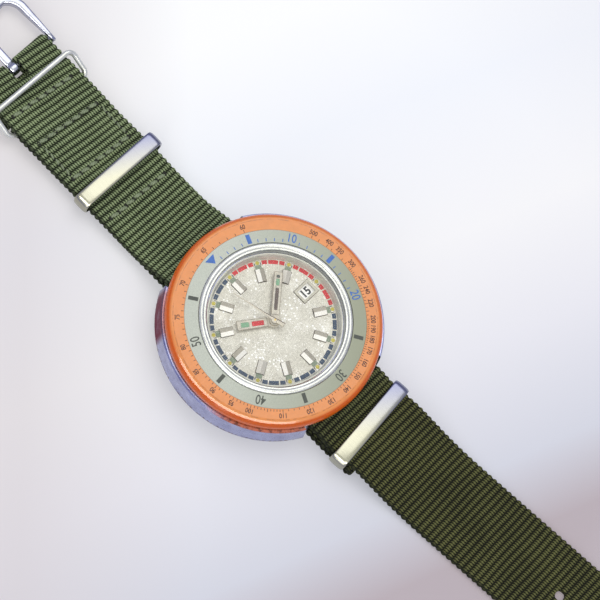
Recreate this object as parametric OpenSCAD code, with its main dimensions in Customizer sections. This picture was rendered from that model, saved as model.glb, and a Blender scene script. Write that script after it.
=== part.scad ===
// Hand-wound diver's wristwatch with two turning rings, on a pass-through webbing strap.
// Millimetres. Origin on the dial axis, in the plane that the strap rests on.
// +Z goes up through the dial, +Y towards 12 o'clock and the buckle, +X towards the crown.

/* [Strap] */
// Width of the webbing
strap_w = 20; // [18:0.5:21]
// Thickness of one layer of webbing
strap_t = 1.2; // [1:0.05:1.4]
// Gap left between two layers of webbing
ply_gap = 0.05; // [0.03:0.01:0.1]
// Sideways place of the strap at the buckle end
strap_x = 0.8; // [0:0.1:1]
// Angle at which the tail of the strap leaves the watch
tail_angle = 4.5; // [0:0.5:4.5]
// Distance from the dial axis to the tip of the tail
tail_reach = 171; // [150:1:185]
// Distance from the dial axis to the buckle pin
buckle_y = 77.3; // [74:0.1:84]
// Distance from the dial axis to the first hole of the tail
hole_first = 82; // [75:1:90]
// Distance between two holes of the tail
hole_pitch = 7; // [6:0.5:8]
// Number of holes in the tail
hole_count = 9; // [6:1:9]
// Diameter of a hole in the tail
hole_d = 2.2; // [1.8:0.1:2.6]

/* [Strap hardware] */
// Width of a flat keeper along the strap
keeper_w = 3.6; // [3:0.1:4.5]
// Thickness of a flat keeper's band
keeper_t = 0.8; // [0.6:0.05:1]
// Free height above the strap inside the wide keeper
keeper_room = 1.3; // [1:0.1:2]
// Distance from the dial axis to the middle of the wide keeper
wide_keeper_y = 45.8; // [44:0.1:48]
// Gap between the case and the tail keeper
tail_keeper_gap = 3.1; // [2.8:0.1:3.8]
// Wire diameter of the thin keeper
wire_d = 1.2; // [1:0.05:1.3]
// Distance from the buckle pin to the lower bar of the thin keeper
wire_keeper_gap = 11.1; // [10.7:0.1:11.5]
// Distance between the lower and the upper bar of the thin keeper
wire_keeper_h = 6.6; // [6:0.1:7.5]
// Lean of the thin keeper from upright towards the buckle
wire_keeper_lean = 58; // [40:1:60]
// Diameter of the buckle pin
pin_d = 1.4; // [1.2:0.05:1.5]
// Inner length of the buckle loop from the pin
loop_in = 12; // [11:0.1:14]
// Width of the loop's front bar
loop_front_w = 2.9; // [2.4:0.1:3.2]
// Width of the loop's side bars
loop_side_w = 2; // [1.7:0.1:2.3]
// Thickness of the buckle loop
loop_t = 2; // [1.8:0.1:2.2]
// Width of the buckle tongue
tongue_w = 2; // [1.6:0.1:2.2]
// Thickness of the buckle tongue
tongue_t = 1; // [0.8:0.05:1.1]

/* [Case] */
// Thickness of a horn at the spring bar
horn_t = 2.19; // [1.9:0.01:2.8]
// Step-in of the case at its upper edge
case_top_in = 0.5; // [0.4:0.1:0.9]
// Width of the bevel round the foot of the case
case_foot_in = 1.7; // [1.1:0.1:2]
// Height of the case from its underside to the seat of the rings
case_h = 7.2; // [7:0.1:7.5]
// Space between the horns beyond the strap, both sides together
lug_play = 2.4; // [2.3:0.1:3]
// Gap between the case back's flange and the wall behind the spring bars
lug_wall_gap = 0.4; // [0.3:0.05:0.5]
// Distance from that wall to a spring bar
bar_off = 2.3; // [2.25:0.05:2.5]
// Height of a spring bar above the underside of the case
bar_lift = 1.2; // [1.1:0.1:1.5]
// Diameter of a spring bar's tube
bar_d = 1.5; // [1.3:0.05:1.5]
// Diameter of a spring bar's pivots
bar_tip_d = 0.8; // [0.7:0.05:0.9]
// Width of the case back's flange beyond its thread
back_flange_w = 1.2; // [1:0.05:1.3]
// Distance from the movement bore to the thread of the case back
thread_gap = 1.65; // [1.5:0.05:1.75]
// Thickness of the case back's flange
back_flange_t = 0.85; // [0.7:0.05:1]
// Number of key slots in the case back
key_slots = 6; // [4:1:8]

/* [Rings and crystal] */
// Width of the case's rim outside the tachymeter ring
rim_w = 1.15; // [0.9:0.05:1.9]
// Width of the dive ring
dive_w = 2.85; // [2.65:0.05:3.05]
// Width of the flat top of the tachymeter ring
tachy_flat_w = 2.1; // [1.9:0.1:2.4]
// Height of the tachymeter ring
tachy_h = 2.3; // [2.2:0.05:2.5]
// Height of the tachymeter ring's outer edge above its underside
tachy_edge_h = 0.7; // [0.5:0.05:0.9]
// Thickness of the collar that the dive ring turns on
collar_w = 0.85; // [0.8:0.05:0.9]
// Rise of the dive ring towards the crystal
dive_rise = 0.25; // [0.1:0.05:0.3]
// Width of the metal ring that holds the crystal
hold_w = 1.45; // [1.35:0.05:1.5]
// Height of the crystal's dome above its flange
dome_h = 1.75; // [1.6:0.05:2]
// Thickness of the crystal's flange
flange_t = 0.55; // [0.5:0.05:0.6]
// Width of the seat under the crystal's flange
flange_w = 1; // [0.9:0.05:1.1]
// Running gap of a turning ring
ring_gap = 0.05; // [0.03:0.01:0.08]

/* [Dial and hands] */
// Gap between the rim of an hour marker and that of the dial
marker_gap = 2.7; // [2.4:0.05:3]
// Thickness of the dial
dial_t = 0.4; // [0.3:0.05:0.45]
// Width of the flange ring round the dial
rehaut_w = 0.7; // [0.6:0.05:0.8]
// Length of an hour marker
marker_len = 2.75; // [2.4:0.05:3]
// Width of an hour marker
marker_w = 1.75; // [1.5:0.05:2]
// Height of an hour marker
marker_h = 0.5; // [0.3:0.05:0.6]
// Distance from the dial's edge to the middle of the date window
window_gap = 4.45; // [4.35:0.05:4.5]
// Length of the date window along the radius
window_l = 3.1; // [2.8:0.1:3.1]
// Width of the date window
window_w = 2.3; // [2:0.1:2.4]
// Width of the frame round the date window
window_rim = 0.5; // [0.35:0.05:0.55]
// Length of the hour hand
hour_len = 7.9; // [7.5:0.1:8.4]
// Width of the hour hand near its tip
hour_w = 2.1; // [1.8:0.1:2.2]
// Length of the minute hand
minute_len = 10.5; // [10:0.1:11.5]
// Width of the minute hand near its tip
minute_w = 1.8; // [1.5:0.05:1.9]
// Border of a hand beside its inlays
hand_border = 0.52; // [0.45:0.01:0.6]
// Length of the seconds hand
seconds_len = 10.2; // [9:0.1:12]
// Thickness of a hand
hand_t = 0.2; // [0.15:0.05:0.25]
// Clockwise angle from 12 of the hour hand
hour_at = 304.5; // [0:0.5:360]
// Clockwise angle from 12 of the minute hand
minute_at = 50; // [0:0.5:360]
// Clockwise angle from 12 of the seconds hand
seconds_at = 346.5; // [0:0.5:360]

/* [Movement] */
// Width of the main plate outside the groove of the winding stem
plate_rim = 1.05; // [1:0.05:1.1]
// Width of the ring that holds the movement in the case
holder_w = 1.4; // [1.35:0.05:1.45]
// Module of the barrel and centre pinion teeth
module_barrel = 0.144; // [0.14:0.001:0.146]
// Module of the centre wheel and third pinion teeth
module_centre = 0.11; // [0.108:0.001:0.111]
// Module of the fourth wheel and escape pinion teeth
module_fourth = 0.1088; // [0.107:0.0005:0.1095]
// Module of the motion work teeth
module_motion = 0.13; // [0.127:0.001:0.132]
// Module of the teeth that drive the date
module_date = 0.15; // [0.145:0.001:0.152]
// Module of the winding wheel teeth
module_winding = 0.127; // [0.125:0.001:0.128]
// Outer radius of the balance wheel
balance_r = 4.3; // [4:0.05:4.35]
// Radius of the winding stem
stem_r = 0.6; // [0.5:0.02:0.6]
// Radius of the crown
crown_r = 2.3; // [2:0.05:2.35]
// Length of the crown
crown_l = 2.6; // [2.2:0.1:2.9]
// Travel of the crown from winding to setting
crown_pull = 0.8; // [0.5:0.05:0.8]
// Thickness of the hairspring and mainspring blades
blade_t = 0.06; // [0.05:0.01:0.07]

/* [Hidden] */
$fn = 64;
cut = 0.5;
slip = 0.05;

// Heights of the case and of what stacks on it
back_z = 2 * strap_t + 3 * ply_gap;
case_z = back_z + back_flange_t;
seat_z = case_z + case_h;
bar_z = case_z + bar_lift;
ring_z = seat_z + 0.15;
tachy_z = ring_z + tachy_h;
neck_z = ring_z + 1.2;
collar_z = tachy_z - 0.15;
flange_z = collar_z - flange_t - slip;
gasket_t = 0.3;
ledge_z = flange_z - gasket_t - slip;
dome_z = flange_z + flange_t + dome_h;
dial_z = seat_z - 0.5;
dial_low_z = dial_z - dial_t;
back_plug_z = case_z + 1;
wire_keeper_y = buckle_y - wire_keeper_gap;

// Places of the wheels, seen from the dial
barrel_teeth = 72;
centre_leaves = 10;
centre_teeth = 80;
third_leaves = 10;
third_teeth = 75;
fourth_leaves = 10;
fourth_teeth = 80;
escape_leaves = 8;
escape_teeth = 15;
ratchet_teeth = 60;
crown_teeth = 40;
cannon_teeth = 12;
minute_teeth = 36;
minute_leaves = 10;
hour_teeth = 40;
date_teeth = 40;
setting_teeth = 15;
date_leaves = 20;
ring_teeth = 31;
module_third = module_centre * (centre_teeth + third_leaves) / (third_teeth + fourth_leaves);
module_hour = module_motion * (cannon_teeth + minute_teeth) / (minute_leaves + hour_teeth);
barrel_angle = 60;
third_angle = 130;
escape_angle = 200;
minute_angle = -20;
balance_angle = -55;
setting_angle = -5;
function polar(r, a) = [r * cos(a), r * sin(a)];
function pair_gap(m, a, b) = m * (a + b) / 2;
barrel_at = polar(pair_gap(module_barrel, barrel_teeth, centre_leaves), barrel_angle);
third_at = polar(pair_gap(module_centre, centre_teeth, third_leaves), third_angle);
escape_at = polar(pair_gap(module_fourth, fourth_teeth, escape_leaves), escape_angle);
minute_wheel_at = polar(pair_gap(module_motion, cannon_teeth, minute_teeth), minute_angle);
setting_at = minute_wheel_at + polar(pair_gap(module_motion, minute_teeth, setting_teeth), setting_angle);
date_wheel_at = [0, -pair_gap(module_date, date_leaves, date_teeth)];
escape_r = 2.1;
pallet_at = escape_at + polar(2.75, balance_angle);
balance_at = escape_at + polar(5.6, balance_angle);
winding_gap = pair_gap(module_winding, ratchet_teeth, crown_teeth);
crown_wheel_y = 0.9;
crown_wheel_at = [
    barrel_at[0] + sqrt(pow(winding_gap, 2) - pow(barrel_at[1] - crown_wheel_y, 2)), crown_wheel_y
];
winding_r = module_winding * 10;
pinion_x = crown_wheel_at[0] + module_winding * crown_teeth / 2 - 0.75;
pinion_l = 1.35;
clutch_r = 1.2;
clutch_l = 1.9;
clutch_x = pinion_x - clutch_l - 0.05;
groove_x = pinion_x + pinion_l + 0.207;
groove_l = 0.7;
lever_post = [groove_x + groove_l / 2, 0];
lever_pivot = lever_post + [-0.8, 2.9];
yoke_finger = [clutch_x + clutch_l / 2, 0];
yoke_pivot = yoke_finger + [1.15, -2.9];
click_at = barrel_at + polar(5.3, 100);

// Levels of the movement, from the calendar down to the bridges
date_z = dial_low_z - 0.2;
date_t = 0.35;
plate_top_z = dial_low_z - 0.65;
plate_z = plate_top_z - 2.45;
motion_z = plate_top_z - 0.8;
escape_z = plate_z + 0.75;
barrel_z = plate_z - 0.1;
barrel_top_z = plate_z + 1.35;
centre_z = plate_z - 0.5;
third_z = plate_z - 0.85;
fourth_z = plate_z - 1.15;
ratchet_z = plate_z - 1.6;
bridge_z = plate_z - 2.05;
stem_z = plate_z + 0.4;
wheel_t = 0.2;

// Radii of the case and of what turns in it, from the movement outwards
plate_r = groove_x + groove_l + plate_rim;
bore_r = plate_r + slip + holder_w;
dial_r = bore_r - slip;
rehaut_in_r = dial_r - rehaut_w;
marker_in = dial_r - marker_gap - marker_len;
window_x = dial_r - window_gap;
flange_r = bore_r + flange_w;
collar_r = flange_r + collar_w;
hold_in_r = collar_r - hold_w;
dive_in_r = collar_r + ring_gap;
rings_r = dive_in_r + dive_w;
neck_r = rings_r - ring_gap;
tachy_flat_r = rings_r + tachy_flat_w;
back_thread_r = bore_r + thread_gap;
back_bore_r = back_thread_r + 0.1;
back_flange_r = back_thread_r + back_flange_w;
lug_wall_y = back_flange_r + lug_wall_gap;
bar_y = lug_wall_y + bar_off;
lug_gap = strap_w + lug_play;
case_r = norm([lug_gap / 2 + horn_t, bar_y]);
case_top_r = case_r - case_top_in;
case_foot_r = case_r - case_foot_in;
tachy_r = case_r - rim_w;
tail_keeper_y = case_r + tail_keeper_gap + keeper_w / 2;
crown_x = case_r - crown_l - 0.1;

// A gear's outline has trapezoid teeth, and one tooth points along +X
function gear_points(n, r, add, ded, wide) = [
    for (i = [0 : n - 1])
        for (p = [
            [-wide * 0.62, r - ded], [-wide * 0.3, r + add], [wide * 0.3, r + add], [wide * 0.62, r - ded]
        ])
            polar(p[1], (i + p[0]) * 360 / n)
];

// Phase of a gear's teeth that mesh with a mate which lies at an angle from it
function mate_phase(angle, phase, n, mate) =
    angle + 180 + (angle - phase) * n / mate + 180 / mate;

module gear(n, m, z, h, phase = 0, wide = 0.4) {
    translate([0, 0, z])
        rotate([0, 0, phase])
            linear_extrude(h)
                polygon(gear_points(n, n * m / 2, 0.75 * m, 1.05 * m, wide));
}

// A pinion's leaves are thinner than a wheel's teeth
module leaves(n, m, z, h, phase = 0) {
    gear(n, m, z, h, phase, 0.34);
}

module disc(r, z, h) {
    translate([0, 0, z]) cylinder(r = r, h = h);
}

module ring(ro, ri, z, h) {
    difference() {
        disc(ro, z, h);
        disc(ri, z - cut, h + 2 * cut);
    }
}

module rod_x(r, x, l) {
    translate([x, 0, 0]) rotate([0, 90, 0]) cylinder(r = r, h = l);
}

// Round windows that lighten a wheel
module windows(n, r, at, z) {
    for (i = [0 : n - 1])
        rotate([0, 0, (i + 0.5) * 360 / n]) translate([at, 0, z - cut]) cylinder(r = r, h = 2 * cut + wheel_t);
}

// The hands' angles run clockwise from 12
module clockwise(a) {
    rotate([0, 0, 90 - a]) children();
}

// Centre line of the webbing, as outward distance and height, from under the case to over a bar
bend_r = strap_t / 2 + 0.6;
wrap_r = bar_d / 2 + 2 * ply_gap + strap_t / 2;
main_z = 1.5 * strap_t + ply_gap;
bend_y = bar_y - wrap_r - bend_r;
function arc(c, r, a, b, n) = [for (i = [0 : n]) c + polar(r, a + (b - a) * i / n)];
function over_bar(leave) = concat(
    arc([bend_y, main_z + bend_r], bend_r, -90, 0, 6),
    [for (i = [0 : 9]) [bar_y, bar_z] + polar(wrap_r, 180 + (leave - 180) * i / 10)]
);
function spline(p) = [
    for (i = [1 : len(p) - 3])
        for (t = [0 : 0.25 : 0.75])
            0.5 * (2 * p[i] + (p[i + 1] - p[i - 1]) * t
                + (2 * p[i - 1] - 5 * p[i] + 4 * p[i + 1] - p[i + 2]) * t * t
                + (3 * p[i] - p[i - 1] - 3 * p[i + 1] + p[i + 2]) * t * t * t)
];
function unit(v) = v / norm(v);
function turn(v) = [-v[1], v[0]];
function side(p, s) = [
    for (i = [0 : len(p) - 1])
        p[i] + s * turn(unit(p[min(i + 1, len(p) - 1)] - p[max(i - 1, 0)]))
];
function band(p, t) = let (b = side(p, -t / 2)) concat(side(p, t / 2), [for (i = [len(b) - 1 : -1 : 0]) b[i]]);

// A strap's side outline, along Y and Z, is swept in X
module webbing(p, x, w) {
    translate([x - w / 2, 0, 0])
        rotate([90, 0, 90])
            linear_extrude(w)
                polygon(band(p, strap_t));
}

// Heights at which the plies run over and under the hardware
low_z = strap_t / 2;
wide_z = strap_t + 2 * ply_gap + keeper_t + strap_t / 2;
wire_z = strap_t + ply_gap + wire_d / 2;
over_wire_z = wire_z + wire_d / 2 + 3 * ply_gap + strap_t / 2;
fold_r = pin_d / 2 + 2 * ply_gap + strap_t / 2;
pin_z = fold_r + strap_t / 2 + ply_gap;
pin_top_z = pin_z + fold_r;
loop_z = pin_z + 0.1;
tail_main_z = 2 * strap_t + 3 * ply_gap + keeper_t + strap_t / 2;
keeper_low_z = strap_t + ply_gap;
fold_back_z = keeper_low_z + keeper_t + ply_gap + strap_t / 2;
leave_up = polar(wrap_r, 52) + [bar_y, bar_z];
leave_down = polar(wrap_r, 42) + [bar_y, bar_z];
bar_run = wide_keeper_y - bar_y;
tail_flat_y = tail_keeper_y + 31.2;
keeper_run = wire_keeper_y - wide_keeper_y;
head_path = concat(
    over_bar(52),
    spline([
        [bar_y, bar_z + wrap_r], leave_up, [bar_y + 0.17 * bar_run, bar_z - 0.4],
        [bar_y + 0.335 * bar_run, main_z + 0.65], [bar_y + 0.51 * bar_run, main_z + 0.2],
        [bar_y + 0.7 * bar_run, main_z + 0.45], [wide_keeper_y - 3.5, wide_z], [wide_keeper_y + 4.5, wide_z],
        [wide_keeper_y + 0.475 * keeper_run, main_z + 0.65], [wire_keeper_y - 4.5, over_wire_z - 0.1],
        [wire_keeper_y + 0.5, over_wire_z], [buckle_y - 6.3, over_wire_z + 0.1], [buckle_y, pin_top_z],
        [buckle_y + 3, pin_top_z]
    ]),
    arc([buckle_y, pin_z], fold_r, 90, -90, 12),
    [[wire_keeper_y + 2.2, low_z + ply_gap]]
);
tail_path = concat(
    over_bar(42),
    spline([
        [bar_y, bar_z + wrap_r], leave_down, [bar_y + 3.8, bar_z + 0.3],
        [tail_keeper_y - 2.9, tail_main_z + 0.03], [tail_keeper_y + 0.7, tail_main_z],
        [tail_keeper_y + 4.6, tail_main_z - 0.05], [tail_keeper_y + 8.7, low_z + 2.3],
        [tail_keeper_y + 13.2, low_z + 1.1], [tail_keeper_y + 18.7, low_z + 0.25], [tail_flat_y - 7, low_z],
        [tail_flat_y, low_z], [tail_flat_y + 6, low_z]
    ]),
    [[tail_flat_y, low_z], [tail_reach + 1, low_z]]
);
main_path = concat(
    [for (i = [len(tail_path) - 1 : -1 : 0]) [-tail_path[i][0], tail_path[i][1]]],
    head_path
);
under_fold_y = tail_keeper_y + keeper_w / 2 + 1.3;
under_fold_r = (fold_back_z - low_z) / 2;
under_path = concat(
    [[wire_keeper_y + 1.6, low_z]],
    arc([-under_fold_y, low_z + under_fold_r], under_fold_r, 270, 90, 10),
    [[-(tail_keeper_y - 4.6), fold_back_z]]
);
function slant(u) = [strap_x + tan(tail_angle) * (u - lug_wall_y), -u];
under_x = strap_x + 0.45;
keeper_x = strap_x + 0.2;
tail_keeper_x = strap_x + 0.67;

module case() {
    color("lightsteelblue") difference() {
        rotate_extrude($fn = 128) polygon([
            [back_bore_r, case_z], [case_foot_r, case_z], [case_r - 0.1, case_z + 1.1], [case_r, case_z + 1.5],
            [case_top_r, seat_z - 0.3], [case_top_r - 0.3, seat_z], [neck_r, seat_z],
            [neck_r, neck_z], [collar_r, neck_z], [collar_r, collar_z],
            [flange_r + slip, collar_z], [flange_r + slip, ledge_z], [bore_r, ledge_z],
            [bore_r, back_plug_z], [back_bore_r, back_plug_z]
        ]);
        for (s = [-1, 1]) {
            lug_slot(s);
            bar_holes(s);
        }
        gasket_groove();
        spring_groove();
        snap_groove(0.33);
        crown_pocket();
    }
}

// Slot between two horns: it stops under the seat of the rings and is open outside the neck
module lug_slot(s) {
    low_y = s > 0 ? lug_wall_y : -lug_wall_y - case_r;
    translate([-lug_gap / 2, low_y, case_z - cut])
        cube([lug_gap, case_r, case_h + cut - 0.4]);
    difference() {
        translate([-lug_gap / 2, low_y, seat_z - 1])
            cube([lug_gap, case_r, 2]);
        disc(neck_r + 0.6, seat_z - 2, 4);
    }
}

// The horns are drilled right through, so that a pin can push a spring bar's pivot in
module bar_holes(s) {
    translate([0, s * bar_y, bar_z])
        rod_x(bar_tip_d / 2 + 0.03, -case_r, 2 * case_r);
}

module gasket_groove() {
    ring(back_bore_r + 1.05, back_bore_r + 0.25, case_z - cut, cut + 0.5);
}

module spring_groove() {
    ring(neck_r - 0.9, collar_r + 0.6, neck_z - 0.4, 1);
}

module snap_groove(r) {
    rotate_extrude($fn = 128) translate([rings_r, ring_z + 0.6]) circle(r = r, $fn = 24);
}

// Pocket for the crown, the bore for its tube and a thumb scoop below it
module crown_pocket() {
    translate([0, 0, stem_z]) {
        rod_x(crown_r + 0.2, crown_x - 0.15, crown_l + 3);
        rod_x(tube_r + 0.02, bore_r - 1, crown_x - bore_r + 2);
    }
    translate([case_r + 2.6, 0, case_z - 0.8]) sphere(r = 5.2, $fn = 48);
}

module caseback() {
    color("silver") difference() {
        union() {
            disc(back_flange_r, back_z, back_flange_t - slip);
            disc(back_thread_r, back_z + 0.2, back_flange_t + 0.75);
        }
        disc(back_thread_r - 1.4, back_z + 0.9, 2);
        for (i = [0 : key_slots - 1])
            rotate([0, 0, (i + 0.5) * 360 / key_slots])
                translate([back_flange_r - 1.5, -0.9, back_z - cut])
                    cube([3, 1.8, cut + 0.4]);
        ring(back_thread_r - 2.6, back_thread_r - 2.9, back_z - cut, cut + 0.12);
    }
}

module caseback_gasket() {
    color("dimgray") ring(back_bore_r + 1, back_bore_r + 0.3, case_z, 0.45);
}

module tachymeter_ring() {
    color("darkorange") difference() {
        rotate_extrude($fn = 128) polygon(concat(
            [
                [rings_r, ring_z], [tachy_r - 0.25, ring_z], [tachy_r, ring_z + 0.25],
                [tachy_r, ring_z + tachy_edge_h]
            ],
            [for (t = [0.2 : 0.2 : 0.8])
                [
                    tachy_r - (tachy_r - tachy_flat_r) * (1 - cos(90 * t)),
                    ring_z + tachy_edge_h + (tachy_h - tachy_edge_h) * sin(90 * t)
                ]],
            [[tachy_flat_r, tachy_z], [rings_r, tachy_z]]
        ));
        snap_groove(0.33);
    }
}

module dive_ring() {
    color("darkseagreen") rotate_extrude($fn = 128) polygon([
        [dive_in_r, neck_z + ring_gap], [neck_r, neck_z + ring_gap], [neck_r, tachy_z],
        [dive_in_r, tachy_z + dive_rise]
    ]);
}

module ring_click_spring() {
    color("silver") ring(neck_r - 1, collar_r + 0.7, neck_z - 0.35, 0.35);
}

module ring_snap_wire() {
    color("silver") difference() {
        rotate_extrude($fn = 96) translate([rings_r, ring_z + 0.6]) circle(r = 0.27, $fn = 24);
        translate([-0.4, -rings_r - 1, ring_z]) cube([0.8, 2, 1.2]);
    }
}

module crystal_hold_ring() {
    foot_z = collar_z + 0.02;
    color("gainsboro") rotate_extrude($fn = 128) polygon(concat(
        [[hold_in_r, foot_z], [collar_r - 0.02, foot_z]],
        arc([(hold_in_r + collar_r) / 2 + 0.1, collar_z + 0.1], (collar_r - hold_in_r) / 2 - 0.12, 20, 150, 8),
        [[hold_in_r, foot_z + 0.35]]
    ));
}

module crystal() {
    lip_z = flange_z + flange_t;
    wall_r = hold_in_r - slip;
    wall_h = 0.7;
    in_r = wall_r - 0.9;
    color("lightcyan", 0.35) rotate_extrude($fn = 128) polygon(concat(
        [[in_r, flange_z], [flange_r, flange_z], [flange_r, lip_z], [wall_r, lip_z]],
        [for (i = [0 : 9])
            [wall_r * cos(i * 9), lip_z + wall_h + (dome_h - wall_h) * pow(sin(i * 9), 0.9)]],
        [[0, dome_z], [0, dome_z - 1.5]],
        [for (i = [9 : -1 : 1])
            [in_r * cos(i * 9), lip_z + 0.1 + (dome_h - 1.6) * pow(sin(i * 9), 0.9)]],
        [[in_r, lip_z - 0.2]]
    ));
}

module crystal_gasket() {
    color("dimgray") ring(flange_r - 0.02, bore_r + 0.12, ledge_z, gasket_t);
}

module rehaut_ring() {
    color("silver") rotate_extrude($fn = 128) polygon([
        [rehaut_in_r, dial_z + 0.02], [dial_r, dial_z + 0.02], [dial_r, flange_z - slip],
        [dial_r - 0.3, flange_z - slip], [rehaut_in_r, dial_z + 0.5]
    ]);
}

module dial() {
    foot_at = plate_r - 0.4;
    color("gainsboro") {
        difference() {
            disc(dial_r, dial_low_z, dial_t);
            disc(pipe_r + 0.15, dial_low_z - cut, dial_t + 2 * cut);
            translate([window_x - window_l / 2, -window_w / 2, dial_low_z - cut])
                cube([window_l, window_w, dial_t + 2 * cut]);
        }
        for (a = plate_foot_angles)
            rotate([0, 0, a]) translate([foot_at, 0, dial_low_z - 1.6]) cylinder(r = 0.25, h = 1.6 + dial_t / 2);
    }
}

// Eleven batons with two facets that meet in a ridge; 3 o'clock holds the date
module hour_markers() {
    color("white")
        for (h = [1 : 12])
            if (h != 3)
                clockwise(30 * h)
                    translate([marker_in, 0, dial_z])
                        rotate([90, 0, 90])
                            linear_extrude(marker_len)
                                polygon([
                                    [-marker_w / 2, 0], [marker_w / 2, 0], [marker_w / 2, marker_h / 2],
                                    [0, marker_h], [-marker_w / 2, marker_h / 2]
                                ]);
}

module date_window_frame() {
    out = 2 * window_rim;
    color("silver") difference() {
        translate([window_x - window_l / 2 - window_rim, -window_w / 2 - window_rim, dial_z])
            cube([window_l + out, window_w + out, 0.3]);
        translate([window_x - window_l / 2, -window_w / 2, dial_z - cut])
            cube([window_l, window_w, 1 + cut]);
    }
}

hour_hand_z = dial_z + marker_h + 0.1;
hand_root_w = 1.76;
minute_hand_z = hour_hand_z + hand_t + 0.35;
seconds_hand_z = minute_hand_z + hand_t + 0.35;
pipe_r = 1;
tube_r = 1.38;
plate_foot_angles = [100, 280];
cannon_r = 0.72;
arbor_r = 0.46;
fourth_r = 0.22;

module hour_hand() {
    color("cornsilk") clockwise(hour_at) difference() {
        union() {
            disc(pipe_r + 0.35, hour_hand_z, hand_t);
            translate([0, 0, hour_hand_z]) linear_extrude(hand_t) polygon([
                [-1.6, -0.4], [-0.2, -hand_root_w / 2], [hour_len, -hour_w / 2], [hour_len, hour_w / 2],
                [-0.2, hand_root_w / 2], [-1.6, 0.4]
            ]);
        }
        disc(pipe_r, hour_hand_z - cut, 2 * cut + hand_t);
        hand_slot(2.15, 2.6, hour_w - 2 * hand_border, hour_hand_z);
        hand_slot(5.3, 1.75, hour_w - 2 * hand_border, hour_hand_z);
    }
}

module hand_slot(x, l, w, z) {
    translate([x, -w / 2, z - cut]) cube([l, w, hand_t + 2 * cut]);
}

module minute_hand() {
    color("cornsilk") clockwise(minute_at) difference() {
        union() {
            disc(cannon_r + 0.3, minute_hand_z, hand_t);
            translate([0, 0, minute_hand_z]) linear_extrude(hand_t) polygon([
                [0, -hand_root_w / 2], [minute_len, -minute_w / 2], [minute_len, minute_w / 2], [0, hand_root_w / 2]
            ]);
        }
        disc(cannon_r, minute_hand_z - cut, 2 * cut + hand_t);
        hand_slot(2.2, 4.8, minute_w - 2 * hand_border, minute_hand_z);
        hand_slot(7.5, 1.5, minute_w - 2 * hand_border, minute_hand_z);
        hand_slot(9.15, 0.7, minute_w - 2 * hand_border, minute_hand_z);
    }
}

module seconds_hand() {
    color("cornsilk") clockwise(seconds_at) difference() {
        union() {
            disc(0.75, seconds_hand_z, hand_t * 0.75);
            translate([0, 0, seconds_hand_z]) linear_extrude(hand_t * 0.75) polygon([
                [-2.2, -0.55], [0, -0.4], [2.5, -0.16], [seconds_len, -0.09],
                [seconds_len, 0.09], [2.5, 0.16], [0, 0.4], [-2.2, 0.55]
            ]);
        }
        disc(fourth_r, seconds_hand_z - cut, 2 * cut);
    }
}

module crown() {
    knurls = 24;
    color("silver") translate([0, 0, stem_z]) difference() {
        union() {
            rod_x(crown_r - 0.12, crown_x, crown_l);
            translate([crown_x + 0.35, 0, 0]) rotate([0, 90, 0]) linear_extrude(crown_l - 0.9)
                polygon(gear_points(knurls, crown_r - 0.12, 0.12, 0.1, 0.5));
        }
        rod_x(tube_r + 0.07, crown_x - cut, cut + 0.3 + crown_pull);
        rod_x(stem_r, crown_x, 2);
    }
}

module winding_stem() {
    square_w = 0.8;
    square_x = pinion_x - clutch_l - 0.75;
    color("silver") translate([0, 0, stem_z]) difference() {
        union() {
            rod_x(0.3, square_x - 1.2, 1.3);
            translate([square_x, -square_w / 2, -square_w / 2])
                cube([pinion_x - square_x + 0.1, square_w, square_w]);
            rod_x(stem_r, pinion_x, crown_x + 1.9 - pinion_x);
        }
        difference() {
            rod_x(1, groove_x, groove_l);
            rod_x(0.38, groove_x - cut, groove_l + 2 * cut);
        }
    }
}

module crown_tube() {
    color("silver") translate([0, 0, stem_z]) difference() {
        rod_x(tube_r, bore_r + 0.1, crown_x - bore_r + 0.75);
        rod_x(stem_r + slip, bore_r - 1, crown_x - bore_r + 3);
    }
}

module spring_bars() {
    shoulder = 0.35;
    color("silver") for (s = [-1, 1]) translate([0, s * bar_y, bar_z]) {
        rod_x(bar_d / 2, -lug_gap / 2 + shoulder, lug_gap - 2 * shoulder);
        rod_x(bar_tip_d / 2, -lug_gap / 2 - 1.3, lug_gap + 2.6);
    }
}

// Levels and fits shared by the movement's pieces
pivot_r = 0.1;
staff_r = 0.2;
jewel_r = 0.5;
jewel_t = 0.25;
post_r = 0.25;
lever_t = 0.22;
bridge_t = 0.7;
recess = 0.2;
bridge_jewel_z = bridge_z + 0.35;
plate_jewel_z = plate_z + 1.2;
cock_z = plate_z - 1.3;
cock_jewel_z = cock_z + 0.3;
pallet_bridge_z = plate_z + 0.38;
balance_z = plate_z - 0.05;
balance_t = 0.35;
barrel_face_z = plate_z - 1.2;
train_pillars = [for (a = [120, 175, 230]) polar(plate_r - 1.45, a)];
barrel_pillars = [for (a = [-18, 20, 95]) polar(plate_r - 1.05, a)];
cock_angle = atan2(balance_at[1], balance_at[0]);
cock_foot = polar(plate_r - 1.1, cock_angle);
third_tip = module_third * third_teeth / 2 + 0.1;
centre_tip = module_centre * centre_teeth / 2 + 0.1;
barrel_tip = module_barrel * barrel_teeth / 2 + 0.11;
ratchet_tip = module_winding * ratchet_teeth / 2 + 0.1;

module at(p) {
    translate([p[0], p[1], 0]) children();
}

// A straight bar between two points seen from the dial
module link(p, q, w, z, h) {
    d = q - p;
    translate([p[0], p[1], z])
        rotate([0, 0, atan2(d[1], d[0])])
            translate([0, -w / 2, 0])
                cube([norm(d), w, h]);
}

// An arbor between two jewels, with a pivot at each end
module arbor(p, top_z, low_z) {
    at(p) {
        disc(staff_r, top_z + jewel_t, low_z - top_z - jewel_t);
        disc(pivot_r, top_z + 0.05, low_z - top_z + jewel_t - 0.1);
    }
}

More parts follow.
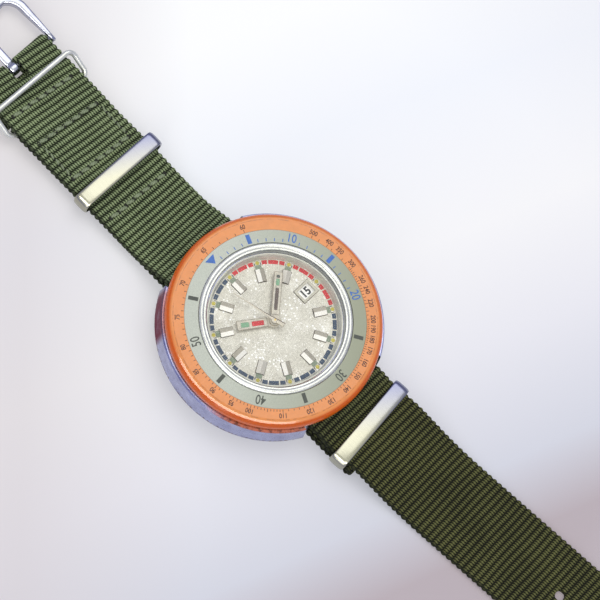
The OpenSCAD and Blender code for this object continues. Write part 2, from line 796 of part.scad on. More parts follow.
module sector(r, a, b, z, h) {
    translate([0, 0, z]) linear_extrude(h)
        polygon(concat([[0, 0]], [for (i = [0 : 12]) polar(r, a + (b - a) * i / 12)]));
}

module movement_holder() {
    color("silver") difference() {
        ring(bore_r - 0.03, plate_r + 0.05, bridge_z + 0.1, dial_low_z - bridge_z - 0.12);
        translate([0, 0, stem_z]) rod_x(stem_r + 0.1, plate_r - 1, holder_w + 2);
        for (i = [0 : 5])
            rotate([0, 0, 30 + i * 60]) translate([plate_r + holder_w - 0.4, 0, bridge_z - cut])
                cylinder(r = 0.9, h = cut + 0.8);
    }
}

module main_plate() {
    color("goldenrod") difference() {
        disc(plate_r, plate_z, plate_top_z - plate_z);
        at(barrel_at) disc(barrel_tip + recess, plate_z - cut, cut + 1.45);
        disc(1.1, plate_z - cut, cut + 0.95);
        train_recess();
        motion_recess();
        stem_window();
        disc(arbor_r + 0.04, plate_z - cut, 4);
        at(barrel_at) disc(0.4, plate_z, 4);
        for (p = [third_at, escape_at, pallet_at, balance_at]) at(p) {
            disc(jewel_r, plate_jewel_z, jewel_t);
            disc(pivot_r + 0.06, plate_z - cut, cut + 1.6);
            disc(staff_r + 0.08, plate_z - cut, plate_jewel_z - plate_z + cut);
        }
        for (p = concat(train_pillars, barrel_pillars, [cock_foot]))
            at(p) disc(0.4, plate_z - cut, cut + 1);
        for (a = plate_foot_angles)
            rotate([0, 0, a]) translate([plate_r - 0.4, 0, plate_z + 0.6]) cylinder(r = 0.29, h = 4);
    }
    color("goldenrod") {
        for (p = [minute_wheel_at, setting_at, lever_pivot, yoke_pivot])
            at(p) disc(post_r, motion_z - 0.05, 0.72);
        at(date_wheel_at) disc(post_r, date_floor_z, 0.5);
    }
}

date_floor_z = plate_top_z - 0.25;

// Hollow on the train side for the escapement and the balance
module train_recess() {
    at(balance_at) disc(balance_r + 0.55, plate_z - cut, cut + 1.05);
    at(escape_at) disc(escape_r + recess, plate_z - cut, cut + 1.05);
    at(pallet_at) disc(2.2, plate_z - cut, cut + 1.05);
}

// Hollow on the dial side for the motion work, the date drive and the keyless work
module motion_recess() {
    disc(module_hour * hour_teeth / 2 + 0.3, motion_z, 2);
    at(minute_wheel_at) disc(module_motion * minute_teeth / 2 + 0.25, motion_z, 2);
    at(setting_at) disc(module_motion * setting_teeth / 2 + 0.25, motion_z, 2);
    at(date_wheel_at) disc(module_date * date_teeth / 2 + 0.3, date_floor_z, 2);
    translate([clutch_x - 0.4, -4.3, motion_z]) cube([6, 8.6, 2]);
}

// Window for the winding and sliding pinions, and the bearings of the stem
module stem_window() {
    translate([clutch_x - 0.75, -1.5, plate_z - cut])
        cube([pinion_x + pinion_l - clutch_x + 0.8, 3, 4]);
    translate([0, 0, stem_z]) {
        rod_x(0.35, clutch_x - 2.4, 3);
        rod_x(stem_r + slip, pinion_x, 6);
    }
    translate([groove_x - 0.1, -0.5, stem_z]) cube([4, 1.1, 4]);
}

module barrel_bridge() {
    color("goldenrod") difference() {
        union() {
            intersection() {
                sector(plate_r + 6, -24, 100, barrel_face_z, 0.95);
                disc(plate_r - 0.15, barrel_face_z, 0.95);
            }
            for (p = barrel_pillars) at(p) disc(0.85, barrel_face_z, plate_z - barrel_face_z);
        }
        disc(centre_tip + 0.15, barrel_face_z - cut, 3);
        at(third_at) disc(third_tip + 0.15, barrel_face_z - cut, 3);
        at(barrel_at) disc(0.64, barrel_face_z - cut, 3);
        at(crown_wheel_at)
            ring(module_winding * crown_teeth / 2 + 0.25, 0.75, barrel_face_z - cut, cut + 0.3);
        translate([clutch_x - 0.75, -1.5, barrel_face_z - cut])
            cube([pinion_x + pinion_l - clutch_x + 0.8, 3, 4]);
        for (p = barrel_pillars) at(p) disc(0.4, barrel_face_z - cut, 3);
        at(click_at) disc(0.3, barrel_face_z - cut, 3);
    }
}

module train_bridge() {
    color("goldenrod") difference() {
        union() {
            intersection() {
                sector(plate_r + 6, 112, 238, bridge_z, bridge_t);
                disc(plate_r - 0.15, bridge_z, bridge_t);
            }
            disc(1.6, bridge_z, bridge_t);
            for (p = train_pillars) at(p) disc(0.9, bridge_z, plate_z - bridge_z);
        }
        at(barrel_at) disc(ratchet_tip + 0.2, bridge_z - cut, 3);
        for (p = [[0, 0], third_at, escape_at]) at(p) {
            disc(jewel_r, bridge_jewel_z, jewel_t);
            disc(pivot_r + 0.06, bridge_z - cut, 3);
            disc(staff_r + 0.08, bridge_jewel_z, 2);
        }
        for (p = train_pillars) at(p) disc(0.4, bridge_z - cut, 4);
    }
}

module pallet_bridge() {
    across = polar(2.3, balance_angle + 90);
    color("goldenrod") difference() {
        union() {
            link(pallet_at - across, pallet_at + across, 0.8, pallet_bridge_z, 0.22);
            for (s = [-1, 1]) at(pallet_at + s * across)
                disc(0.45, pallet_bridge_z, plate_z + 1.05 - pallet_bridge_z);
        }
        at(pallet_at) disc(pivot_r + 0.03, pallet_bridge_z - cut, 2);
    }
}

module balance_cock() {
    color("goldenrod") difference() {
        union() {
            link(balance_at, cock_foot, 2.4, cock_z, 0.65);
            at(balance_at) disc(1.5, cock_z, 0.65);
            intersection() {
                at(cock_foot) rotate([0, 0, cock_angle]) translate([-1, -2.6, cock_z]) cube([4, 5.2, plate_z - cock_z]);
                disc(plate_r - 0.15, cock_z, 4);
            }
        }
        at(balance_at) {
            disc(jewel_r, cock_jewel_z, jewel_t);
            disc(pivot_r + 0.06, cock_z - cut, 3);
            disc(staff_r + 0.08, cock_jewel_z, 2);
        }
        at(cock_foot) disc(0.4, cock_z - cut, 4);
    }
}

// The barrel drives the centre pinion; the centre wheel drives the third, and so on
barrel_phase = barrel_angle + 180;
centre_pinion_phase = mate_phase(barrel_angle + 180, barrel_phase, barrel_teeth, centre_leaves);
centre_phase = third_angle;
third_pinion_phase = mate_phase(third_angle, centre_phase, centre_teeth, third_leaves);
third_phase = third_angle + 180;
fourth_pinion_phase = mate_phase(third_angle + 180, third_phase, third_teeth, fourth_leaves);
fourth_phase = escape_angle;
escape_pinion_phase = mate_phase(escape_angle, fourth_phase, fourth_teeth, escape_leaves);
cannon_phase = minute_angle;
minute_phase = mate_phase(minute_angle, cannon_phase, cannon_teeth, minute_teeth);
setting_phase = mate_phase(setting_angle, minute_phase, minute_teeth, setting_teeth);
minute_pinion_phase = minute_angle + 180;
hour_phase = mate_phase(minute_angle + 180, minute_pinion_phase, minute_leaves, hour_teeth);
date_pinion_phase = -90;
date_wheel_phase = mate_phase(-90, date_pinion_phase, date_leaves, date_teeth);
winding_angle = atan2(crown_wheel_at[1] - barrel_at[1], crown_wheel_at[0] - barrel_at[0]);
ratchet_phase = winding_angle;
crown_wheel_phase = mate_phase(winding_angle, ratchet_phase, ratchet_teeth, crown_teeth);

module barrel_drum() {
    drum_r = barrel_tip - 0.6;
    color("goldenrod") difference() {
        at(barrel_at) {
            disc(drum_r, barrel_z, barrel_top_z - barrel_z);
            gear(barrel_teeth, module_barrel, barrel_z + 0.45, 0.4, barrel_phase);
        }
        at(barrel_at) {
            disc(drum_r - 0.3, barrel_z + 0.2, barrel_top_z - barrel_z - 0.4);
            disc(0.64, barrel_z - cut, 3);
        }
    }
}

// A spiral blade between two radii
function spiral(r0, r1, turns, steps) = [
    for (i = [0 : turns * steps])
        polar(r0 + (r1 - r0) * i / (turns * steps), i * 360 / steps)
];

module mainspring() {
    color("steelblue") at(barrel_at) translate([0, 0, barrel_z + 0.3])
        linear_extrude(barrel_top_z - barrel_z - 0.6)
            polygon(band(spiral(1, barrel_tip - 1.05, 6, 18), 2 * blade_t));
}

module barrel_arbor() {
    color("silver") at(barrel_at) {
        disc(0.6, ratchet_z - 0.05, barrel_top_z - ratchet_z);
        disc(0.85, barrel_z + 0.3, barrel_top_z - barrel_z - 0.6);
        disc(0.36, barrel_top_z - 0.2, 0.45);
    }
}

module ratchet_wheel() {
    color("silver") at(barrel_at) difference() {
        gear(ratchet_teeth, module_winding, ratchet_z, 0.3, ratchet_phase);
        disc(0.6, ratchet_z - cut, 2);
    }
}

module crown_wheel() {
    r = module_winding * crown_teeth / 2;
    color("silver") at(crown_wheel_at) difference() {
        union() {
            gear(crown_teeth, module_winding, ratchet_z, 0.3, crown_wheel_phase);
            ring(r - 0.15, r - 0.6, ratchet_z + 0.3, 0.26);
        }
        disc(0.56, ratchet_z - cut, 2);
    }
}

module click() {
    color("silver") difference() {
        union() {
            at(click_at) disc(0.7, ratchet_z, 0.3);
            at(barrel_at) translate([0, 0, ratchet_z]) linear_extrude(0.3) polygon([
                polar(ratchet_tip + 0.06, 80), polar(ratchet_tip + 0.5, 77), polar(5.75, 92), polar(4.75, 101)
            ]);
        }
        at(click_at) disc(0.34, ratchet_z - cut, 2);
    }
}

module centre_wheel() {
    color("goldenrod") difference() {
        union() {
            gear(centre_teeth, module_centre, centre_z, wheel_t, centre_phase);
            leaves(centre_leaves, module_barrel, barrel_z + 0.35, 0.6, centre_pinion_phase);
            disc(arbor_r, centre_z - slip, minute_hand_z - 0.15 - centre_z);
        }
        windows(5, 1.05, 2.55, centre_z);
        disc(fourth_r + slip, centre_z - cut, 9);
    }
}

module third_wheel() {
    color("goldenrod") difference() {
        union() {
            at(third_at) {
                gear(third_teeth, module_third, third_z, wheel_t, third_phase);
                leaves(third_leaves, module_centre, centre_z - 0.1, 0.4, third_pinion_phase);
            }
            arbor(third_at, bridge_jewel_z, plate_jewel_z);
        }
        at(third_at) windows(5, 1, 2.5, third_z);
    }
}

module fourth_wheel() {
    color("goldenrod") difference() {
        union() {
            gear(fourth_teeth, module_fourth, fourth_z, wheel_t, fourth_phase);
            leaves(fourth_leaves, module_third, fourth_z + wheel_t, 0.36, fourth_pinion_phase);
            disc(fourth_r, bridge_jewel_z + jewel_t, seconds_hand_z - bridge_jewel_z + 0.1 - jewel_t);
            disc(pivot_r, bridge_jewel_z + slip, 1);
        }
        windows(5, 1, 2.5, fourth_z);
    }
}

module escape_wheel() {
    step = 360 / escape_teeth;
    color("silver") {
        at(escape_at) {
            difference() {
                translate([0, 0, escape_z]) linear_extrude(wheel_t)
                    polygon([
                        for (i = [0 : escape_teeth - 1])
                            for (p = [[0, escape_r - 0.5], [0.35, escape_r], [0.5, escape_r], [0.55, escape_r - 0.5]])
                                polar(p[1], (i + p[0]) * step)
                    ]);
                windows(4, 0.4, 0.95, escape_z);
            }
            leaves(escape_leaves, module_fourth, fourth_z - 0.1, 0.4, escape_pinion_phase);
        }
        arbor(escape_at, bridge_jewel_z, plate_jewel_z);
    }
}

// The stones stop just short of the escape wheel's tips over the whole rock of the fork
module pallet_fork() {
    reach = 2.75;
    tail = 1.8;
    color("silver") at(pallet_at) rotate([0, 0, balance_angle]) {
        for (s = [-1, 1]) {
            stone = polar(escape_r + 0.42, s * 34) - [reach, 0];
            link([0, 0], stone, 0.35, escape_z, 0.18);
            translate([stone[0], stone[1], escape_z]) rotate([0, 0, s * 34])
                translate([-0.2, -0.15, 0]) cube([0.4, 0.3, 0.18]);
            link([tail - 0.35, 0], [tail, s * 0.24], 0.14, escape_z, 0.18);
        }
        link([0, 0], [tail - 0.3, 0], 0.3, escape_z, 0.18);
        disc(staff_r, pallet_bridge_z + 0.26, plate_jewel_z - pallet_bridge_z - 0.26);
        disc(pivot_r, pallet_bridge_z + slip, plate_jewel_z - pallet_bridge_z + jewel_t - 0.1);
    }
}

module balance_wheel() {
    screws = 12;
    rim_t = 0.5;
    table_z = escape_z - 0.38;
    color("goldenrod") at(balance_at) {
        ring(balance_r - 0.15, balance_r - 0.15 - rim_t, balance_z, balance_t);
        link([-balance_r + 0.4, 0], [balance_r - 0.4, 0], 0.5, balance_z + 0.1, 0.2);
        for (i = [0 : screws - 1])
            rotate([0, 0, (i + 0.5) * 360 / screws])
                translate([0, 0, balance_z + balance_t / 2]) rod_x(0.13, balance_r - 0.3, 0.3);
        disc(0.9, table_z, 0.15);
        disc(0.4, table_z, 0.5);
        translate([0.7, 0, table_z]) cylinder(r = 0.09, h = 0.5);
    }
    color("goldenrod") arbor(balance_at, cock_jewel_z, plate_jewel_z);
}

module hairspring() {
    hair_z = balance_z - 0.35;
    color("steelblue") at(balance_at) {
        translate([0, 0, hair_z]) linear_extrude(0.16)
            polygon(band(spiral(0.5, 1.6, 5, 20), blade_t));
        translate([1.6, 0, cock_z + 0.6]) cylinder(r = 0.14, h = hair_z + 0.16 - cock_z - 0.6);
    }
}

module cannon_pinion() {
    color("silver") difference() {
        union() {
            leaves(cannon_teeth, module_motion, motion_z + 0.1, 0.36, cannon_phase);
            disc(cannon_r, motion_z + 0.1, minute_hand_z + hand_t - motion_z - 0.1);
        }
        disc(arbor_r + 0.03, motion_z - cut, 9);
    }
}

module minute_wheel() {
    color("goldenrod") at(minute_wheel_at) difference() {
        union() {
            gear(minute_teeth, module_motion, motion_z + 0.13, 0.18, minute_phase);
            leaves(minute_leaves, module_hour, motion_z + 0.31, 0.32, minute_pinion_phase);
        }
        disc(post_r + 0.04, motion_z - cut, 3);
    }
}

module hour_wheel() {
    wheel_z = motion_z + 0.48;
    color("goldenrod") difference() {
        union() {
            gear(hour_teeth, module_hour, wheel_z, 0.14, hour_phase);
            gear(date_leaves, module_date, wheel_z + 0.14, 0.16, date_pinion_phase);
            disc(pipe_r, wheel_z, hour_hand_z + hand_t - wheel_z);
        }
        disc(cannon_r + 0.05, wheel_z - cut, 4);
    }
}

module setting_wheel() {
    color("silver") at(setting_at) difference() {
        gear(setting_teeth, module_motion, motion_z + 0.13, 0.18, setting_phase);
        disc(post_r + 0.04, motion_z - cut, 3);
    }
}

module winding_pinion() {
    teeth = 20;
    color("silver") translate([0, 0, stem_z]) difference() {
        translate([pinion_x, 0, 0]) rotate([0, 90, 0]) linear_extrude(pinion_l)
            polygon(gear_points(teeth, winding_r, 0.08, 0.13, 0.36));
        rod_x(stem_r + 0.03, pinion_x - cut, 3);
    }
}

module sliding_pinion() {
    bore_w = 0.86;
    teeth = 14;
    color("silver") translate([clutch_x, 0, stem_z]) difference() {
        union() {
            rod_x(clutch_r - 0.3, 0.1, clutch_l - 0.2);
            for (x = [0, clutch_l - 0.65])
                translate([x, 0, 0]) rotate([0, 90, 0]) linear_extrude(0.65)
                    polygon(gear_points(teeth, clutch_r - 0.1, 0.1, 0.12, 0.4));
        }
        translate([-cut, -bore_w / 2, -bore_w / 2]) cube([4, bore_w, bore_w]);
    }
}

module setting_lever() {
    z = motion_z + 0.1;
    color("silver") difference() {
        union() {
            link(lever_pivot, lever_post, 0.75, z, lever_t);
            at(lever_pivot) disc(0.65, z, lever_t);
            at(lever_post) disc(0.4, z, lever_t);
            at(lever_post) disc(0.22, stem_z + 0.45, z - stem_z);
        }
        at(lever_pivot) disc(post_r + 0.04, z - cut, 2);
    }
}

module yoke() {
    z = motion_z + 0.1;
    color("silver") difference() {
        union() {
            link(yoke_pivot, yoke_finger, 0.6, z, lever_t);
            at(yoke_pivot) disc(0.65, z, lever_t);
            at(yoke_finger) disc(0.3, z, lever_t);
            at(yoke_finger) disc(0.16, stem_z + clutch_r - 0.22, z - stem_z - clutch_r + 0.3);
        }
        at(yoke_pivot) disc(post_r + 0.04, z - cut, 2);
    }
}

date_tip_r = 7.85;
module calendar_plate() {
    color("silver") difference() {
        disc(date_tip_r - 0.15, plate_top_z + 0.02, 0.38);
        disc(pipe_r + 0.15, plate_top_z - cut, 2);
        disc(module_date * date_leaves / 2 + 0.25, plate_top_z - cut, cut + 0.1);
        at(date_wheel_at) disc(3.3, plate_top_z - cut, 2);
    }
}

module date_driving_wheel() {
    z = motion_z + 0.62;
    finger = date_tip_r + date_wheel_at[1] - 0.1;
    color("goldenrod") at(date_wheel_at) difference() {
        union() {
            gear(date_teeth, module_date, z, 0.16, date_wheel_phase);
            disc(0.6, z, 0.4);
            link([0, 0], polar(finger, -60), 0.4, z + 0.16, 0.24);
        }
        disc(post_r + 0.04, z - cut, 2);
    }
}

// Ring that carries the days of the month, with teeth on its inner edge
module date_ring() {
    depth = 0.4;
    color("white") translate([0, 0, date_z - date_t]) linear_extrude(date_t) difference() {
        circle(r = plate_r - 0.7, $fn = 128);
        polygon(gear_points(ring_teeth, date_tip_r + depth / 2, depth / 2, depth / 2, 0.75));
    }
}

module jewels() {
    color("crimson") {
        for (p = [[0, 0], third_at, escape_at]) at(p) ring(jewel_r, pivot_r + 0.02, bridge_jewel_z, jewel_t);
        for (p = [third_at, escape_at, pallet_at, balance_at])
            at(p) ring(jewel_r, pivot_r + 0.02, plate_jewel_z, jewel_t);
        at(balance_at) ring(jewel_r, pivot_r + 0.02, cock_jewel_z, jewel_t);
    }
}

module slotted_screw(z, low_z) {
    difference() {
        union() {
            disc(0.72, z - 0.35, 0.35);
            disc(0.38, z - 0.1, low_z - z);
        }
        translate([-1, -0.1, z - 0.35 - cut]) cube([2, 0.2, cut + 0.15]);
    }
}

module bridge_screws() {
    color("steelblue") {
        for (p = train_pillars) at(p) slotted_screw(bridge_z, plate_z + 1);
        for (p = barrel_pillars) at(p) slotted_screw(barrel_face_z, plate_z + 1);
        at(cock_foot) slotted_screw(cock_z, plate_z + 1);
        at(crown_wheel_at) difference() {
            union() {
                disc(1.1, ratchet_z - 0.32, 0.28);
                disc(0.5, ratchet_z - 0.1, barrel_face_z - ratchet_z + 0.1);
            }
            translate([-2, -0.1, ratchet_z - 0.32 - cut]) cube([4, 0.2, cut + 0.12]);
        }
    }
}

// The strap runs over both bars and under the case, and its end folds round the buckle pin
module main_strap() {
    slot_w = tongue_w + 1;
    color("darkolivegreen") difference() {
        intersection() {
            webbing(main_path, strap_x + strap_w / 2, 3 * strap_w);
            translate([0, 0, -cut]) linear_extrude(12) main_outline();
        }
        translate([strap_x - slot_w / 2, buckle_y - 3.2, -cut])
            cube([slot_w, 8, 9]);
        for (i = [0 : hole_count - 1])
            translate(concat(slant(hole_first + i * hole_pitch), -cut))
                cylinder(r = hole_d / 2, h = 6, $fn = 32);
    }
}

// Plan of the main strap: straight at the buckle end, slanting at the tail, which ends in an arch
module main_outline() {
    tip = slant(tail_reach - strap_w / 2);
    tip_r = strap_w / 2 * cos(tail_angle) + 0.005;
    half = [strap_w / 2, 0];
    difference() {
        polygon([
            [strap_x, buckle_y + 5] + half, slant(lug_wall_y) + half, slant(tail_reach + 1) + half,
            slant(tail_reach + 1) - half, slant(lug_wall_y) - half, [strap_x, buckle_y + 5] - half
        ]);
        translate(tip) difference() {
            rotate(tail_angle) translate([-strap_w, -2 * strap_w]) square(2 * strap_w);
            circle(r = tip_r, $fn = 96);
        }
    }
}

module under_strap() {
    color("darkolivegreen") webbing(under_path, under_x, strap_w);
}

keeper_in = strap_w + 1.1;

// A flat band bent to a rounded rectangle round the strap, centred on its own axis along Y
module flat_keeper(h) {
    band_r = 0.35;
    difference() {
        rounded(keeper_in + 2 * keeper_t, h, band_r + keeper_t, keeper_w);
        rounded(keeper_in, h - 2 * keeper_t, band_r, keeper_w + 2 * cut);
    }
}

module rounded(w, h, r, l) {
    rotate([90, 0, 0]) translate([0, 0, -l / 2]) linear_extrude(l) {
        square([w - 2 * r, h], center = true);
        square([w, h - 2 * r], center = true);
        for (x = [-1, 1], y = [-1, 1])
            translate([x * (w / 2 - r), y * (h / 2 - r)]) circle(r = r, $fn = 32);
    }
}

module wide_keeper() {
    h = wide_z + strap_t / 2 + keeper_room + keeper_t - keeper_low_z;
    color("lavender") translate([keeper_x, wide_keeper_y, keeper_low_z + h / 2]) flat_keeper(h);
}

module tail_keeper() {
    h = tail_main_z + strap_t / 2 + 2 * ply_gap + keeper_t - keeper_low_z;
    color("lavender")
        translate([tail_keeper_x, -tail_keeper_y, keeper_low_z + h / 2])
            rotate([0, 0, tail_angle])
                flat_keeper(h);
}

// A wire loop that leans towards the buckle
module thin_keeper() {
    w = keeper_in + wire_d;
    h = wire_keeper_h;
    bend = 1.6;
    r = wire_d / 2;
    color("lavender")
        translate([strap_x, wire_keeper_y, wire_z])
            rotate([-wire_keeper_lean, 0, 0])
                translate([0, 0, h / 2])
                    rotate([90, 0, 0]) {
                        for (s = [-1, 1]) {
                            translate([-(w / 2 - bend), s * h / 2, 0]) rod_x(r, 0, w - 2 * bend);
                            translate([s * w / 2, -(h / 2 - bend), 0]) rotate([-90, 0, 0])
                                cylinder(r = r, h = h - 2 * bend);
                        }
                        for (q = [[1, 1, 0], [-1, 1, 90], [-1, -1, 180], [1, -1, 270]])
                            translate([q[0] * (w / 2 - bend), q[1] * (h / 2 - bend), 0])
                                rotate([0, 0, q[2]])
                                    rotate_extrude(angle = 90) translate([bend, 0]) circle(r = r, $fn = 24);
                    }
}

// The loop turns on a pin that is pressed into its eyes; its sides widen towards the front bar
module buckle_frame() {
    eye_in = strap_w / 2 + 0.4;
    in_w = eye_in - 0.2;
    out_w = in_w + loop_side_w;
    out_l = loop_in + loop_front_w;
    front_r = 5.5;
    in_r = 3;
    color("lavender") translate([strap_x, buckle_y, 0]) {
        translate([0, 0, loop_z - loop_t / 2]) linear_extrude(loop_t) difference() {
            union() {
                polygon([
                    [-eye_in - 1.3, 0], [eye_in + 1.3, 0], [out_w, out_l - front_r], [out_w - front_r, out_l],
                    [front_r - out_w, out_l], [-out_w, out_l - front_r]
                ]);
                for (s = [-1, 1]) translate([s * (out_w - front_r), out_l - front_r])
                    circle(r = front_r, $fn = 48);
            }
            polygon([
                [-eye_in, -cut], [eye_in, -cut], [in_w, loop_in - in_r], [in_w - in_r, loop_in],
                [in_r - in_w, loop_in], [-in_w, loop_in - in_r]
            ]);
            for (s = [-1, 1]) translate([s * (in_w - in_r), loop_in - in_r])
                circle(r = in_r, $fn = 48);
        }
        translate([0, 0, pin_z]) {
            for (x = [-eye_in - 1.3, eye_in]) rod_x(loop_t / 2 + 0.1, x, 1.3);
            rod_x(pin_d / 2, -eye_in - 0.1, 2 * eye_in + 0.2);
        }
    }
}

// The tongue's eye turns on the pin, and its tip lies on the front bar
module buckle_tongue() {
    eye_r = pin_d / 2 + slip;
    rise = loop_z + loop_t / 2 + tongue_t / 2 + slip;
    tip = loop_in + loop_front_w - 0.3;
    low = pin_z + 0.3;
    color("lavender") translate([strap_x, buckle_y, 0]) difference() {
        union() {
            translate([0, 0, pin_z]) rod_x(eye_r + 0.6, -tongue_w / 2, tongue_w);
            translate([-tongue_w / 2, 0, 0]) rotate([90, 0, 90]) linear_extrude(tongue_w)
                polygon([
                    [0, low - tongue_t / 2], [loop_in - 1, rise - tongue_t / 2], [tip, rise - tongue_t / 2],
                    [tip + 0.3, rise], [tip, rise + tongue_t / 2], [loop_in - 1, rise + tongue_t / 2],
                    [0, pin_z + eye_r + 0.6]
                ]);
        }
        translate([0, 0, pin_z]) rod_x(eye_r, -tongue_w, 2 * tongue_w);
    }
}

case();
caseback();
caseback_gasket();
tachymeter_ring();
dive_ring();
ring_click_spring();
ring_snap_wire();
crystal_hold_ring();
crystal();
crystal_gasket();
rehaut_ring();
dial();
hour_markers();
date_window_frame();
hour_hand();
minute_hand();
seconds_hand();
crown();
winding_stem();
crown_tube();
spring_bars();
movement_holder();
main_plate();
barrel_bridge();
train_bridge();
pallet_bridge();
balance_cock();
barrel_drum();
mainspring();
barrel_arbor();
ratchet_wheel();
crown_wheel();
click();
centre_wheel();
third_wheel();
fourth_wheel();
escape_wheel();
pallet_fork();
balance_wheel();
hairspring();
cannon_pinion();
minute_wheel();
hour_wheel();
setting_wheel();
winding_pinion();
sliding_pinion();
setting_lever();
yoke();
calendar_plate();
date_driving_wheel();
date_ring();
jewels();
bridge_screws();
main_strap();
under_strap();
buckle_frame();
buckle_tongue();
thin_keeper();
wide_keeper();
tail_keeper();
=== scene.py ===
"""Looks of the hand-wound diver's watch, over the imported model.

Lengths in the code are millimetres. +Y runs to 12 and the buckle, +X to the crown, +Z up from the floor.
"""
import bpy
import math
from mathutils import Matrix, Vector, noise


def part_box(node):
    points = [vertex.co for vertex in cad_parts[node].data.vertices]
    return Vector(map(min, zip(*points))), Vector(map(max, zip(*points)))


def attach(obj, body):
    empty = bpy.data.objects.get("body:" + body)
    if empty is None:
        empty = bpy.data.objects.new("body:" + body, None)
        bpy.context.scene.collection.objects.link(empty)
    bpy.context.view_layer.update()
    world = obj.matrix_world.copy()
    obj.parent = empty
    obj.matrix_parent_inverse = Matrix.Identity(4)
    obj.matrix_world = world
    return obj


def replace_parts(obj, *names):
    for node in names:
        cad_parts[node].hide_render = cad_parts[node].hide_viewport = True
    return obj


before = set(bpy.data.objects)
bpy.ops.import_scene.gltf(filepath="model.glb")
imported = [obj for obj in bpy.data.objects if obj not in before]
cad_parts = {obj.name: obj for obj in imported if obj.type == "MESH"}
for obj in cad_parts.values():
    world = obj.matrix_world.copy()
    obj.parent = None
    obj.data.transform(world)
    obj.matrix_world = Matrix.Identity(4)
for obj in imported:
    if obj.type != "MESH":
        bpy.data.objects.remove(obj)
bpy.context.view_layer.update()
MM = 0.001
ROOT = "case_body"

# Shared numbers, repeated from the CAD
STRAP_W, STRAP_T, PLY_GAP, STRAP_X = 20.0, 1.2, 0.05, 0.8
TAIL_ANGLE, TAIL_REACH = 4.5, 171.0
TAIL_SLOPE = math.tan(math.radians(TAIL_ANGLE))
BUCKLE_Y, LUG_WALL_Y, BAR_Y, BAR_Z, BAR_R = 77.3, 17.5, 19.8, 4.6, 0.75
WIDE_Y, TAIL_KEEPER_Y, WIRE_Y, WIRE_D, PIN_D = 45.8, 28.8, 66.2, 1.2, 1.4
KEEPER_W, KEEPER_T, KEEPER_ROOM, KEEPER_CORNER, KEEPER_BOW = 3.6, 0.8, 1.1, 1.25, 0.2
CASE_Z, SEAT_Z, DIAL_Z, DATE_Z, TACHY_Z = 3.4, 10.6, 10.1, 9.5, 13.05
HOLE_R, HOLE_FIRST_Y, HOLE_PITCH, HOLE_COUNT = 1.1, 82, 7, 9
# Pitch of the webbing's ribs along the strap and of its warp threads across it
RIB, WARP = 1.38, 0.57
# Clockwise angle of each hand from 12, by the body that it rides on
HAND_AT = {"hour": 304.5, "minute": 50.0, "seconds": 346.5}
HOUR_Z, MINUTE_Z, SECONDS_Z, HAND_T = 10.7, 11.25, 11.8, 0.2
MARKER_L, MARKER_W = 2.75, 1.75
MARKER_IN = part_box("hour_markers")[1][1] / MM - MARKER_L
DATE_HOUR = 3


# ---------- materials ----------
def srgb(r, g, b):
    """Linear colour of an 8-bit one."""
    def lin(c):
        c /= 255
        return c / 12.92 if c <= 0.04045 else ((c + 0.055) / 1.055) ** 2.4
    return (lin(r), lin(g), lin(b), 1.0)


def shade(colour, factor):
    """An 8-bit colour made darker or lighter."""
    return tuple(min(255, int(c * factor)) for c in colour)


def set_stops(ramp, stops):
    """Fill a new colour ramp with (position, colour) stops."""
    for i, (place, colour) in enumerate(stops):
        stop = ramp.elements[i] if i < 2 else ramp.elements.new(place)
        stop.position, stop.color = place, srgb(*colour)


